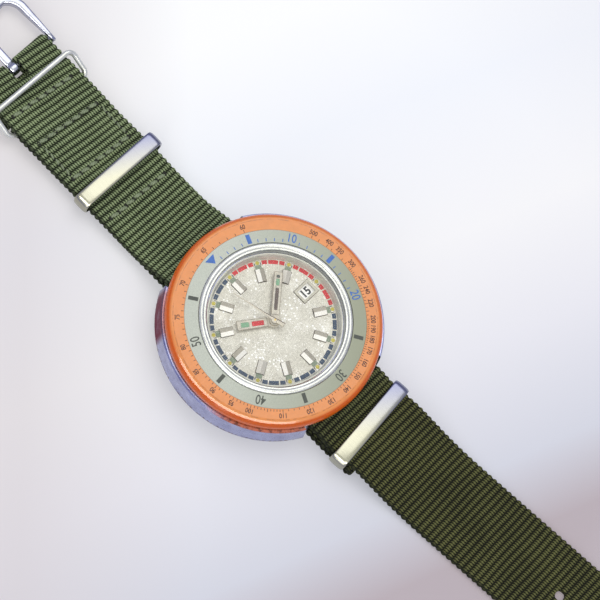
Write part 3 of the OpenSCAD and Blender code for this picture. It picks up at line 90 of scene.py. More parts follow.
class Mat:
    """A Principled material with short calls for its texture nodes."""

    def __init__(self, name, colour, rough, metal=0.0, **inputs):
        self.mat = bpy.data.materials.new(name)
        self.mat.use_nodes = True
        self.tree = self.mat.node_tree
        self.bsdf = self.tree.nodes["Principled BSDF"]
        self.set("Base Color", srgb(*colour))
        self.set("Roughness", rough)
        self.set("Metallic", metal)
        for key, value in inputs.items():
            self.set(key.replace("_", " "), value)

    def put(self, socket, value):
        """Give a socket a plain value or a node's output."""
        if hasattr(value, "is_linked"):
            self.tree.links.new(value, socket)
        else:
            socket.default_value = value

    def set(self, name, value):
        """Set an input of the shader."""
        self.put(self.bsdf.inputs[name], value)

    def node(self, kind, inputs=None, **props):
        n = self.tree.nodes.new("ShaderNode" + kind)
        for key, value in props.items():
            setattr(n, key, value)
        for key, value in (inputs or {}).items():
            self.put(n.inputs[key], value)
        return n

    def coord(self, kind="Object", scale=(1000, 1000, 1000)):
        """Texture coordinates, in millimetres unless told otherwise."""
        tex = self.node("TexCoord")
        return self.node("Mapping", {"Vector": tex.outputs[kind], "Scale": scale}).outputs[0]

    def noise(self, scale, detail=3, rough=0.6, coord=None):
        inputs = {"Vector": coord or self.coord(), "Scale": scale, "Detail": detail, "Roughness": rough}
        return self.node("TexNoise", inputs).outputs["Fac"]

    def math(self, op, a, b=0.0, c=0.0):
        return self.node("Math", {0: a, 1: b, 2: c}, operation=op).outputs[0]

    def ramp(self, fac, *stops):
        """Colour ramp from (position, (r, g, b)) stops in 8-bit colours."""
        n = self.node("ValToRGB", {"Fac": fac})
        set_stops(n.color_ramp, stops)
        return n.outputs["Color"]

    def step(self, value, low, high, out_low=0.0, out_high=1.0):
        """A value's place between two others, clamped, as a number between two more."""
        inputs = {"Value": value, "From Min": low, "From Max": high, "To Min": out_low, "To Max": out_high}
        return self.node("MapRange", inputs).outputs[0]

    def mix(self, fac, a, b):
        """Colour a where the factor is 0, b where it is 1. Plain colours are 8-bit."""
        n = self.node("Mix", data_type="RGBA")
        for key, value in ((0, fac), (6, a), (7, b)):
            self.put(n.inputs[key], srgb(*value) if isinstance(value, tuple) else value)
        return n.outputs[2]

    def bump(self, height, strength, distance):
        """Relief from a height. The distance is in millimetres."""
        inputs = {"Height": height, "Strength": strength, "Distance": distance * MM}
        self.set("Normal", self.node("Bump", inputs).outputs[0])

    def split(self, vector=None):
        """The three parts of a vector, or of the place in millimetres."""
        return self.node("SeparateXYZ", {0: vector or self.coord()}).outputs

    def along(self, xyz, x, y):
        """How far a place lies in a direction of the XY plane."""
        return self.math("MULTIPLY_ADD", xyz[0], x, self.math("MULTIPLY", xyz[1], y))

    def radius(self):
        """Distance from the dial axis, in millimetres, and the place."""
        xyz = self.split()
        x2 = self.math("MULTIPLY", xyz[0], xyz[0])
        y2 = self.math("MULTIPLY", xyz[1], xyz[1])
        return self.math("SQRT", self.math("ADD", x2, y2)), xyz


def brushed(name, colour, rough, wear=(96, 80, 66), grain=(3, 3, 60), worn=0.62, metal=1.0, relief=0.12):
    """Metal, rubber or paint with a fine directional grain, soft clouds and small worn spots."""
    m = Mat(name, colour, rough, metal)
    line = m.noise(1.0, 4, 0.7, m.coord(scale=tuple(g * 1000 for g in grain)))
    blot = m.noise(0.35, 4, 0.6)
    spots = m.noise(2.2, 5, 0.75)
    tone = m.ramp(blot, (0.3, shade(colour, 0.9)), (0.7, colour))
    m.set("Base Color", m.mix(m.step(spots, worn, worn + 0.06), tone, wear))
    m.set("Roughness", m.step(line, 0.3, 0.7, rough * 0.75, rough * 1.3))
    m.bump(line, relief, 0.02)
    return m.mat


def case_steel():
    """Turned steel, worn towards its foot, with a painted purple reflection beside one horn and painted shade
    of the ring's skirt under the ring.
    """
    m = Mat("case_steel", (170, 170, 192), 0.24, 1.0)
    r, xyz = m.radius()
    line = m.noise(1.0, 4, 0.7, m.coord(scale=(1500, 1500, 26000)))
    blot = m.noise(0.3, 4, 0.65)
    tone = m.ramp(blot, (0.3, (140, 143, 180)), (0.7, (176, 181, 214)))
    # Painted reflection: a purple patch on the flank beside one horn, with a purple tint in its gloss.
    towards = m.math("DIVIDE", m.along(xyz, -0.68, 0.73), r)
    stain = m.math("MULTIPLY", m.step(towards, 0.966, 0.982), m.step(blot, 0.3, 0.5, 0.7, 1.0))
    tone = m.mix(stain, tone, (146, 110, 118))
    m.set("Specular Tint", m.mix(stain, (255, 255, 255), (176, 144, 152)))
    spots = m.math("ADD", m.noise(1.8, 5, 0.75), m.step(xyz[2], CASE_Z + 1.9, CASE_Z + 2.2, 0.13, 0.0))
    worn = m.step(spots, 0.62, 0.66)
    tone = m.mix(worn, tone, (84, 54, 56))
    # Painted shade: a reddish band with dark dashes on the near side under the ring, standing for the ring's
    # skirt in shade.
    dashes = m.noise(1.0, 3, 0.6, m.coord(scale=(1500, 1500, 200)))
    skirt_shade = m.ramp(dashes, (0.46, (204, 116, 84)), (0.62, (120, 62, 46)))
    low = m.math("DIVIDE", m.along(xyz, -0.67, -0.74), r)
    skirt_shade_mask = m.math("MULTIPLY", m.step(low, 0.74, 0.9), m.step(xyz[2], SEAT_Z - 0.36, SEAT_Z - 0.28))
    m.set("Metallic", m.step(skirt_shade_mask, 0.0, 1.0, 1.0, 0.1))
    m.set("Base Color", m.mix(skirt_shade_mask, tone, skirt_shade))
    m.set("Roughness", m.step(line, 0.3, 0.7, 0.2, 0.34))
    m.bump(m.math("MULTIPLY_ADD", worn, -0.5, line), 0.15, 0.03)
    return m.mat


def print_ink(name, colour, rough=0.45, glow=0.0):
    """Printing ink with slightly uneven cover; a glow above zero is painted light."""
    m = Mat(name, colour, rough, Emission_Color=(1, 1, 1, 1), Emission_Strength=glow)
    patch = m.noise(1.6, 4)
    m.set("Base Color", m.ramp(patch, (0.3, shade(colour, 0.86)), (0.62, colour)))
    m.bump(patch, 0.1, 0.01)
    return m.mat


def webbing_material():
    """Ribs across the strap with dark slanting gaps between the warp threads, fresh green towards the
    buckle, browner towards the tail, and painted shade along one edge."""
    m = Mat("webbing", (80, 90, 60), 0.85, Sheen_Weight=0.05, Sheen_Roughness=0.5, Specular_IOR_Level=0.2)
    m.set("Sheen Tint", srgb(150, 160, 120))
    across, along = m.split(m.coord("UV", (1, 1, 1)))[:2]
    drift = m.math("MULTIPLY", m.noise(0.4, 2), 3.0)
    turn = m.math("MULTIPLY", along, 2 * math.pi / RIB)
    wave = m.math("COSINE", turn)
    groove = m.step(wave, -0.8, -0.3)
    slant = m.math("MULTIPLY_ADD", along, 2.5, drift)
    phase = m.math("MULTIPLY_ADD", across, 2 * math.pi / WARP, m.math("ADD", slant, m.math("SINE", turn)))
    warp = m.math("MULTIPLY", m.step(m.math("SINE", phase), -0.7, 0.35, 0.02, 0.82),
                  m.step(wave, 0.94, 0.6, 0.25, 1.0))
    top = m.step(m.math("SINE", phase), -0.8, 0.4, 0.52, 1.0)
    depth = m.math("MULTIPLY_ADD", m.math("SUBTRACT", warp, top), groove, top)
    fibre = m.noise(5.0, 3, 0.7, m.coord("UV", (1.0, 3.0, 1.0)))
    depth = m.math("MULTIPLY_ADD", m.math("SUBTRACT", fibre, 0.5), 0.45, depth)
    patch = m.step(m.noise(0.1, 3), 0.35, 0.65, -0.07, 0.07)
    fac = m.math("ADD", depth, patch)
    # The colour follows the depth of the weave: its gaps are dark partly from the darker warp and partly as
    # painted shade.
    fresh = m.ramp(fac, (0.02, (14, 20, 8)), (0.5, (70, 83, 52)), (1.0, (154, 170, 126)))
    aged = m.ramp(fac, (0.02, (8, 9, 0)), (0.5, (38, 40, 14)), (1.0, (104, 106, 62)))
    tone = m.mix(m.step(m.split()[1], 20.0, -30.0), fresh, aged)
    # Painted shade along the left edge of the strap, the side turned away from the light.
    m.set("Base Color", m.mix(m.step(across, -9.2, -9.75, 0.0, 0.8), tone, (20, 26, 14)))
    m.bump(depth, 0.9, 0.16)
    return m.mat


def keeper_steel():
    """Bright steel with a painted reflection: cream at one end and corner of a band, greyer lavender towards
    the other.
    """
    m = Mat("hardware_steel", (186, 186, 176), 0.22, 1.0)
    line = m.noise(1.0, 4, 0.7, m.coord(scale=(5000, 400, 5000)))
    # Painted reflection: the tone shifts from cream to lavender along the band.
    reflection_coords = m.split(m.coord("Generated", (1, 1, 1)))
    lean = m.math("MULTIPLY_ADD", reflection_coords[1], 0.3, reflection_coords[0])
    m.set("Base Color", m.mix(m.step(lean, 0.5, 1.2), (172, 171, 155), (130, 133, 158)))
    m.set("Roughness", m.step(line, 0.3, 0.7, 0.17, 0.28))
    m.bump(line, 0.03, 0.02)
    return m.mat


def marker_steel():
    """Faceted markers with painted light: the facet turned towards eight o'clock is painted bright, the other
    darker, and the low walls are in painted shade.
    """
    m = Mat("bright_markers", (240, 238, 228), 0.3, 0.3)
    true = m.node("NewGeometry").outputs["True Normal"]
    # Painted light: facets turned towards eight o'clock get the bright colour.
    facing = m.node("VectorMath", {0: true, 1: (-0.9, -0.44, 0)}, operation="DOT_PRODUCT").outputs["Value"]
    grain = m.noise(1.0, 4, 0.7, m.coord(scale=(6000, 6000, 20000)))
    tone = m.mix(m.step(facing, -0.08, 0.1), (172, 166, 148), (255, 253, 246))
    tone = m.mix(m.step(grain, 0.35, 0.75, 0.0, 0.3), tone, (200, 194, 176))
    # Painted shade on the low walls.
    upright = m.split(true)[2]
    m.set("Base Color", m.mix(m.step(upright, 0.3, 0.5), (92, 80, 62), tone))
    m.bump(grain, 0.1, 0.01)
    return m.mat


def enamel(name, flat, flank, edge_z):
    """Glossy insert whose outer flank is deeper in colour and chipped along its lower edge, at edge_z."""
    m = Mat(name, flat, 0.24, Coat_Weight=0.6, Coat_Roughness=0.08, Specular_IOR_Level=0.2)
    r, xyz = m.radius()
    mottle = m.noise(0.5, 4)
    fine = m.noise(3.0, 4, 0.7)
    top = m.ramp(mottle, (0.3, flat), (0.7, shade(flat, 1.06)))
    side = m.ramp(fine, (0.3, shade(flank, 0.88)), (0.65, flank))
    tone = m.mix(m.step(r, 21.7, 22.1), top, side)
    worn = m.step(m.noise(0.9, 4, 0.7), 0.46, 0.56)
    worn = m.math("MULTIPLY", worn, m.step(m.math("ABSOLUTE", m.math("SUBTRACT", r, 21.25)), 0.14, 0.04))
    tone = m.mix(m.math("MULTIPLY", worn, 0.5), tone, (150, 96, 70))
    dashes = m.noise(1.0, 4, 0.65, m.coord(scale=(1500, 1500, 450)))
    chips = m.math("ADD", dashes, m.step(xyz[2], edge_z, edge_z + 1.7, 0.09, -0.22))
    chipped = m.step(chips, 0.62, 0.65)
    tone = m.mix(chipped, tone, (104, 44, 26))
    specks = m.noise(2.6, 3, 0.8)
    m.set("Base Color", m.mix(m.step(specks, 0.73, 0.75), tone, (150, 84, 44)))
    m.bump(m.math("MULTIPLY_ADD", chipped, -0.8, mottle), 0.25, 0.05)
    return m.mat


def grey_enamel():
    """Grey insert, fine grained, with painted shade on the crown side."""
    m = Mat("grey_insert", (172, 178, 164), 0.34, Coat_Weight=0.25, Coat_Roughness=0.15)
    r, xyz = m.radius()
    mottle = m.noise(0.4, 5)
    grain = m.noise(4.5, 4, 0.8)
    tone = m.ramp(grain, (0.34, (178, 184, 170)), (0.6, (200, 206, 190)))
    # Painted shade: darker and greener towards the crown side.
    side = m.step(m.math("SUBTRACT", xyz[0], xyz[1]), -14.0, 24.0, 0.0, 0.95)
    tone = m.mix(side, tone, (152, 157, 130))
    m.set("Base Color", m.mix(m.step(mottle, 0.66, 0.74, 0.0, 0.4), tone, (140, 144, 132)))
    m.bump(grain, 0.12, 0.02)
    return m.mat


def dial_material():
    """Silvered dial with a coarse grain, bright flecks, pale clouds and dull spots."""
    m = Mat("dial_silver", (206, 206, 196), 0.45, 0.3)
    grain = m.noise(4.6, 5, 0.85)
    cells, fine = (m.node("TexVoronoi", {"Vector": m.coord(), "Scale": scale}).outputs["Distance"]
                   for scale in (1.5, 2.9))
    cloud = m.noise(0.22, 4, 0.6)
    tone = m.ramp(grain, (0.36, (168, 164, 150)), (0.5, (206, 203, 189)), (0.64, (226, 224, 212)))
    tone = m.mix(m.step(cloud, 0.48, 0.66, 0.0, 0.55), tone, (232, 230, 218))
    fleck = m.math("MULTIPLY", m.step(cells, 0.36, 0.24), m.step(m.noise(0.24, 4), 0.48, 0.58))
    small = m.math("MULTIPLY", m.step(fine, 0.34, 0.2), m.step(m.noise(0.3, 4), 0.48, 0.6))
    tone = m.mix(m.math("MAXIMUM", fleck, small), tone, (255, 255, 252))
    stain = m.step(m.noise(0.6, 5, 0.75), 0.6, 0.67, 0.0, 0.55)
    m.set("Base Color", m.mix(stain, tone, (150, 144, 128)))
    m.set("Roughness", m.step(grain, 0.35, 0.65, 0.52, 0.36))
    m.bump(grain, 0.6, 0.03)
    return m.mat


def lume_material(name, colour):
    """Dull grainy paint."""
    m = Mat(name, colour, 0.75)
    fine = m.noise(5.0, 4, 0.8)
    m.set("Base Color", m.ramp(fine, (0.3, shade(colour, 0.8)), (0.65, colour)))
    m.bump(fine, 0.4, 0.03)
    return m.mat


def glass():
    """Clear acrylic: mostly seen through, more mirror-like at its steep edge, with fine scratches."""
    m = Mat("crystal_acrylic", (226, 232, 234), 0.04, IOR=1.49)
    edge = m.node("LayerWeight", {"Blend": 0.35}).outputs["Facing"]
    scratch = m.noise(1.0, 4, 0.8, m.coord(scale=(260, 2600, 260)))
    veil = m.math("ADD", m.step(edge, 0.35, 1.0, 0.03, 0.6), m.step(scratch, 0.68, 0.8, 0.0, 0.05))
    m.set("Alpha", veil)
    m.set("Roughness", m.step(scratch, 0.6, 0.8, 0.02, 0.1))
    return m.mat


def ruby():
    """Clear red jewel stone."""
    m = Mat("ruby", (190, 20, 50), 0.1, Transmission_Weight=0.6, IOR=1.7)
    m.set("Base Color", m.ramp(m.noise(2.0, 2), (0.3, (170, 16, 44)), (0.7, (205, 30, 60))))
    return m.mat


STEEL = brushed("steel_brushed", (186, 184, 198), 0.3, grain=(40, 40, 2), worn=0.7)
CASE_STEEL = case_steel()
HARDWARE = keeper_steel()
BUCKLE_STEEL = brushed("buckle_steel", (186, 189, 204), 0.22, wear=(140, 132, 120), grain=(5, 0.4, 5),
                       worn=0.74, relief=0.03)
POLISHED = brushed("polished_steel", (228, 230, 224), 0.26, wear=(150, 148, 140), grain=(2, 2, 20),
                   worn=0.76, metal=0.6, relief=0.03)
SATIN = brushed("satin_steel", (222, 222, 208), 0.45, wear=(170, 166, 150), grain=(2, 2, 20),
                worn=0.66, metal=0.25)
FRAME = brushed("frame_steel", (190, 187, 172), 0.4, wear=(150, 144, 130), grain=(2, 2, 20), metal=0.4)
NEEDLE = brushed("needle_cream", (222, 214, 194), 0.4, wear=(140, 126, 104), metal=0.2)
BRASS = brushed("gilt_brass", (196, 170, 110), 0.3, wear=(140, 110, 70))
BLUED = brushed("blued_steel", (40, 56, 110), 0.25, wear=(30, 34, 60))
RUBBER = brushed("black_rubber", (26, 26, 28), 0.7, metal=0.0)
NYLON = brushed("clear_nylon", (196, 198, 192), 0.6, wear=(170, 170, 160), metal=0.0)
BRIGHT = marker_steel()
ORANGE = enamel("orange_insert", (227, 143, 78), (224, 98, 0), SEAT_Z + 0.1)
GREY = grey_enamel()
DIAL = dial_material()
GLASS = glass()
RUBY = ruby()
LUME = lume_material("lume_green", (150, 200, 158))
PLOT = lume_material("lume_plot", (158, 172, 148))
HAND_CREAM = print_ink("hand_cream", (226, 219, 198), 0.35)
# Painted shade for the hands' edges.
HAND_SHADE_INK = print_ink("hand_shade_ink", (136, 122, 98), 0.4)
HAND_GREY = print_ink("hand_grey", (104, 88, 78))
INK_RED = print_ink("ink_red", (228, 36, 44))
INK_NAVY = print_ink("ink_navy", (42, 70, 100))
INK_BLACK = print_ink("ink_black", (34, 36, 38))
INK_DARK = print_ink("ink_dark", (76, 82, 74))
INK_BLUE = print_ink("ink_blue", (66, 118, 200))
INK_TACHY = print_ink("ink_tachymeter", (98, 54, 36))
INK_YELLOW = print_ink("ink_yellow", (216, 202, 74))
# The date disc glows a little: painted light that lifts the shade it lies in below the dial.
DATE_WHITE = print_ink("date_white", (255, 255, 250), 0.5, glow=0.25)
WEBBING = webbing_material()
# Painted shadow round the feet of the markers and the window frame.
MARKER_SHADOW = print_ink("marker_foot_shadow", (92, 80, 62))
THREAD = print_ink("thread_green", (134, 148, 114), 0.55)
# Painted shade inside the stitch holes.
STITCH_HOLE_SHADE = print_ink("stitch_hole_shade", (20, 25, 13), 0.9)


# ---------- mesh helpers ----------
def add_object(name, data):
    obj = bpy.data.objects.new(name, data)
    bpy.context.scene.collection.objects.link(obj)
    return obj


def piece(name, verts, faces, material, body, uvs=None, smooth=True):
    """Make a mesh object from millimetres that rides on a body."""
    mesh = bpy.data.meshes.new(name)
    mesh.from_pydata([[c * MM for c in v] for v in verts], [], faces)
    mesh.validate()
    if uvs:
        layer = mesh.uv_layers.new(name="weave")
        for loop in mesh.loops:
            layer.data[loop.index].uv = uvs[loop.vertex_index]
    if smooth:
        mesh.polygons.foreach_set("use_smooth", [True] * len(mesh.polygons))
    mesh.materials.append(material)
    obj = add_object(name, mesh)
    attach(obj, body)
    return obj


def turned(points, angle, z):
    """Points (outward, left of it) at a height, turned to a clockwise angle from 12."""
    a = math.radians(90 - angle)
    return [(u * math.cos(a) - v * math.sin(a), u * math.sin(a) + v * math.cos(a), z) for u, v in points]


def shifted(faces, base):
    """Faces whose points come after others in a mesh."""
    return [tuple(base + k for k in face) for face in faces]


def band(n):
    """Faces between a ring of n points and the ring after it."""
    return [(i, (i + 1) % n, n + (i + 1) % n, n + i) for i in range(n)]


def superellipse(a, b, n, power):
    """Closed outline of half-widths a and b, with rounded corners."""
    out = []
    for i in range(n):
        t = 2 * math.pi * i / n
        c, s = math.cos(t), math.sin(t)
        out.append((a * math.copysign(abs(c) ** (2 / power), c), b * math.copysign(abs(s) ** (2 / power), s)))
    return out


def sweep(path, section, closed=False, up=Vector((0, 0, 1))):
    """Verts and faces of a section, a function of the index, carried along a path of Vectors."""
    verts, faces = [], []
    n = len(path)
    for i, p in enumerate(path):
        before = path[i - 1] if i or closed else p
        after = path[(i + 1) % n] if i < n - 1 or closed else p
        tangent = (after - before).normalized()
        side = tangent.cross(up).normalized()
        top = side.cross(tangent).normalized()
        outline = section(i)
        verts += [tuple(p + side * a + top * b) for a, b in outline]
    k = len(section(0))
    rings = n if closed else n - 1
    for i in range(rings):
        a, b = i * k, ((i + 1) % n) * k
        faces += [(a + j, a + (j + 1) % k, b + (j + 1) % k, b + j) for j in range(k)]
    if not closed:
        faces.append(tuple(range(k - 1, -1, -1)))
        faces.append(tuple(range((n - 1) * k, n * k)))
    return verts, faces


def arc(cx, cy, r, a, b, n):
    """Points of an arc round a centre, from angle a to b in degrees, in n steps."""
    turns = [math.radians(a + (b - a) * i / n) for i in range(n + 1)]
    return [(cx + r * math.cos(t), cy + r * math.sin(t)) for t in turns]


def spline(p, steps=8):
    """Catmull-Rom points, from p[1] to just before p[-2]."""
    out = []
    for i in range(1, len(p) - 2):
        for k in range(steps):
            t = k / steps
            out.append(tuple(
                0.5 * (2 * p[i][c] + (p[i + 1][c] - p[i - 1][c]) * t
                       + (2 * p[i - 1][c] - 5 * p[i][c] + 4 * p[i + 1][c] - p[i + 2][c]) * t * t
                       + (3 * p[i][c] - p[i - 1][c] - 3 * p[i + 1][c] + p[i + 2][c]) * t ** 3)
                for c in (0, 1)))
    return out


# ---------- the straps ----------
# Heights of a strap's middle, and the radii of its bends, as in the CAD
LOW = STRAP_T / 2
WRAP_R = BAR_R + 2 * PLY_GAP + STRAP_T / 2
BEND_R = STRAP_T / 2 + 0.6
MAIN_Z = 1.5 * STRAP_T + PLY_GAP
WIDE_Z = STRAP_T + 2 * PLY_GAP + KEEPER_T + STRAP_T / 2
WIRE_Z = STRAP_T + PLY_GAP + WIRE_D / 2
OVER_WIRE_Z = WIRE_Z + WIRE_D / 2 + 3 * PLY_GAP + STRAP_T / 2
FOLD_R = PIN_D / 2 + 2 * PLY_GAP + STRAP_T / 2
PIN_Z = FOLD_R + STRAP_T / 2 + PLY_GAP
TAIL_Z = 2 * STRAP_T + 3 * PLY_GAP + KEEPER_T + STRAP_T / 2
KEEPER_LOW_Z = STRAP_T + PLY_GAP
FOLD_BACK_Z = KEEPER_LOW_Z + KEEPER_T + PLY_GAP + STRAP_T / 2


def over_bar(leave):
    """Route from under the case up over a spring bar, to where it leaves the bar at an angle."""
    bend_y = BAR_Y - WRAP_R - BEND_R
    return (arc(bend_y, MAIN_Z + BEND_R, BEND_R, -90, 0, 10)
            + arc(BAR_Y, BAR_Z, WRAP_R, 180, leave, 16)[:-1])


def bar_leave(angle):
    a = math.radians(angle)
    return (BAR_Y + WRAP_R * math.cos(a), BAR_Z + WRAP_R * math.sin(a))


def main_path():
    """Side view (y, z) of the long strap's middle, from the tail's tip to the fold at the buckle."""
    head = (over_bar(52) + spline([
        (BAR_Y, BAR_Z + WRAP_R), bar_leave(52), (24.2, 4.2), (28.5, 2.5), (33, 2.05), (38, 2.3),
        (WIDE_Y - 3.5, WIDE_Z), (WIDE_Y + 4.5, WIDE_Z), (55.5, 2.5), (WIRE_Y - 4.5, OVER_WIRE_Z - 0.1),
        (WIRE_Y + 0.5, OVER_WIRE_Z), (71, OVER_WIRE_Z + 0.1), (BUCKLE_Y, PIN_Z + FOLD_R),
        (BUCKLE_Y + 3, PIN_Z + FOLD_R)])
        + arc(BUCKLE_Y, PIN_Z, FOLD_R, 90, -90, 16) + [(WIRE_Y + 2.2, LOW + PLY_GAP)])
    tail = over_bar(42) + spline([
        (BAR_Y, BAR_Z + WRAP_R), bar_leave(42), (23.6, 4.9), (25.9, TAIL_Z + 0.03), (29.5, TAIL_Z),
        (33.4, TAIL_Z - 0.05), (37.5, 2.9), (42, 1.7), (47.5, 0.85), (53, LOW), (60, LOW), (66, LOW)]) + [
        (60, LOW), (TAIL_REACH, LOW)]
    return [(-y, z) for y, z in reversed(tail)] + head


def under_path():
    """Side view (y, z) of the short strap's middle, with its folded end at the tail keeper."""
    fold_y = TAIL_KEEPER_Y + KEEPER_W / 2 + 1.3
    fold_r = (FOLD_BACK_Z - LOW) / 2
    return ([(WIRE_Y + 1.6, LOW)] + arc(-fold_y, LOW + fold_r, fold_r, 270, 90, 16)
            + [(-(TAIL_KEEPER_Y - 4.6), FOLD_BACK_Z)])


class Track:
    """A strap's centre line, read by the distance along it."""

    def __init__(self, points, centre):
        self.p, self.centre = points, centre
        self.s = [0.0]
        for a, b in zip(points, points[1:]):
            self.s.append(self.s[-1] + math.dist(a, b))
        self.length = self.s[-1]
        self.k = 0

    def at(self, s):
        """Point (y, z) at distance s. Calls with a rising s are the quick ones."""
        s = min(max(s, 0.0), self.length - 1e-6)
        if self.s[self.k] > s:
            self.k = 0
        while self.s[self.k + 1] < s:
            self.k += 1
        k = self.k
        t = (s - self.s[k]) / (self.s[k + 1] - self.s[k])
        a, b = self.p[k], self.p[k + 1]
        return (a[0] + (b[0] - a[0]) * t, a[1] + (b[1] - a[1]) * t)

    def frame(self, s, w, h):
        """A point at distance s, w across the strap and h above its middle."""
        near = 0.3
        a, b = self.at(s - near), self.at(s + near)
        y, z = self.at(s)
        d = math.dist(a, b) or 1.0
        ny, nz = -(b[1] - a[1]) / d, (b[0] - a[0]) / d
        return (self.centre(y) + w, y + ny * h, z + nz * h)

    def nearest(self, y, low, high):
        """Distance along the strap where it passes y, between two distances."""
        steps = int((high - low) * 10)
        return min((low + i / 10 for i in range(steps)), key=lambda s: abs(self.at(s)[0] - y))


def main_centre(y):
    """The tail slants, and the turn is eased over a few millimetres."""
    d = -y - LUG_WALL_Y
    ease = 2.0
    if d <= -ease:
        return STRAP_X
    if d >= ease:
        return STRAP_X + TAIL_SLOPE * d
    return STRAP_X + TAIL_SLOPE * (d + ease) ** 2 / (4 * ease)


# Places of the lattice's lines across the strap, closer at the buckle slot and the edges
W_LINES = [0, 0.3, 0.6, 0.9, 1.2, 1.5, 1.9, 2.6, 3.5, 4.5, 5.5, 6.5, 7.5, 8.4, 9.1, 9.55, 9.8, 9.94, 10.0]
W_LINES = [-w for w in reversed(W_LINES[1:])] + W_LINES


def rib_lean(y):
    """How far the ribs slant, which grows towards the buckle."""
    return 0.09 * min(1.0, max(0.0, (y - 32) / 30))


def ribbed(track, name, removed, half_width, extra=None):
    """Lattice mesh of a ribbed strap, open where removed(s, w) is true."""
    rows = int(track.length / (RIB / 5))
    core, rise, rim = 0.3, 0.25, 0.05
    verts, uvs, faces = [], [], []
    cols = len(W_LINES)
    for side in (1, -1):
        for i in range(rows + 1):
            s = track.length * i / rows
            lean = rib_lean(track.at(s)[0])
            for w in W_LINES:
                wander = 0.22 * noise.noise(Vector((w * 0.13, s * 0.11, 3.1))) + lean * w
                rib = abs(math.sin(math.pi * (s + wander) / RIB))
                edge = min(1.0, max(0.0, (abs(w) - 9.3) / 0.7))
                round_off = math.sqrt(max(0.0, 1 - edge * edge))
                h = side * ((core + rise * rib ** 1.3) * round_off + rim)
                reach = half_width(s) / W_LINES[-1] * (1 + 0.036 * (rib - 0.6) * (abs(w) > 9))
                ws = w * reach
                s2, ws = extra(s, ws) if extra else (s, ws)
                verts.append(track.frame(s2, ws, h))
                uvs.append((ws, s + wander))
    keep = [[not removed(track.length * (i + 0.5) / rows, (W_LINES[j] + W_LINES[j + 1]) / 2)
             for j in range(cols - 1)] for i in range(rows)]
    low = (rows + 1) * cols

    def kept(i, j):
        return 0 <= i < rows and 0 <= j < cols - 1 and keep[i][j]

    for i in range(rows):
        for j in range(cols - 1):
            if not keep[i][j]:
                continue
            a, b, c, d = i * cols + j, i * cols + j + 1, (i + 1) * cols + j + 1, (i + 1) * cols + j
            faces.append((a, b, c, d))
            faces.append((low + d, low + c, low + b, low + a))
            for (p, q), (ni, nj) in (((b, a), (i - 1, j)), ((c, b), (i, j + 1)),
                                     ((d, c), (i + 1, j)), ((a, d), (i, j - 1))):
                if not kept(ni, nj):
                    faces.append((p, q, low + q, low + p))
    return piece(name, verts, faces, WEBBING, ROOT, uvs)


def snap(holes):
    """Move the lattice points near a hole's rim onto it."""
    def move(s, w):
        for hs, hw, r in holes:
            if abs(s - hs) < r + 0.4 and abs(w - hw) < r + 0.4:
                d = math.hypot(s - hs, w - hw)
                if 0.6 * r < d < r + 0.22:
                    return hs + (s - hs) * r / d, hw + (w - hw) * r / d
        return s, w
    return move


main_track = Track(main_path(), main_centre)
under_track = Track(under_path(), lambda y: STRAP_X + 0.45)
# The main track starts at the tail's tip, so a hole's distance is counted from there
holes = [(main_track.nearest(-(HOLE_FIRST_Y + HOLE_PITCH * i), 0, 120), 0.0, HOLE_R)
         for i in range(HOLE_COUNT)]
SLOT_HALF = 1.5
slot_low = main_track.nearest(BUCKLE_Y - 3.2, main_track.length - 30, main_track.length - 12)
slot_high = main_track.length - (BUCKLE_Y - 1.7 - WIRE_Y - 2.2)


def main_removed(s, w):
    """Whether a place is in the tongue's slot or in a hole."""
    if slot_low < s < slot_high and abs(w) < SLOT_HALF:
        return True
    return any(math.hypot(s - hs, w - hw) < r * 0.93 for hs, hw, r in holes)


def tip_width(s):
    """The tail ends in a round arch."""
    r = STRAP_W / 2
    if s >= r:
        return r
    return math.sqrt(max(0.04, r * r - (r - s) ** 2))


main_strap = ribbed(main_track, "main_strap_webbing", main_removed, tip_width, snap(holes))
under_strap = ribbed(under_track, "under_strap_webbing", lambda s, w: False, lambda s: STRAP_W / 2)
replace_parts(main_strap, "main_strap")
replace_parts(under_strap, "under_strap")


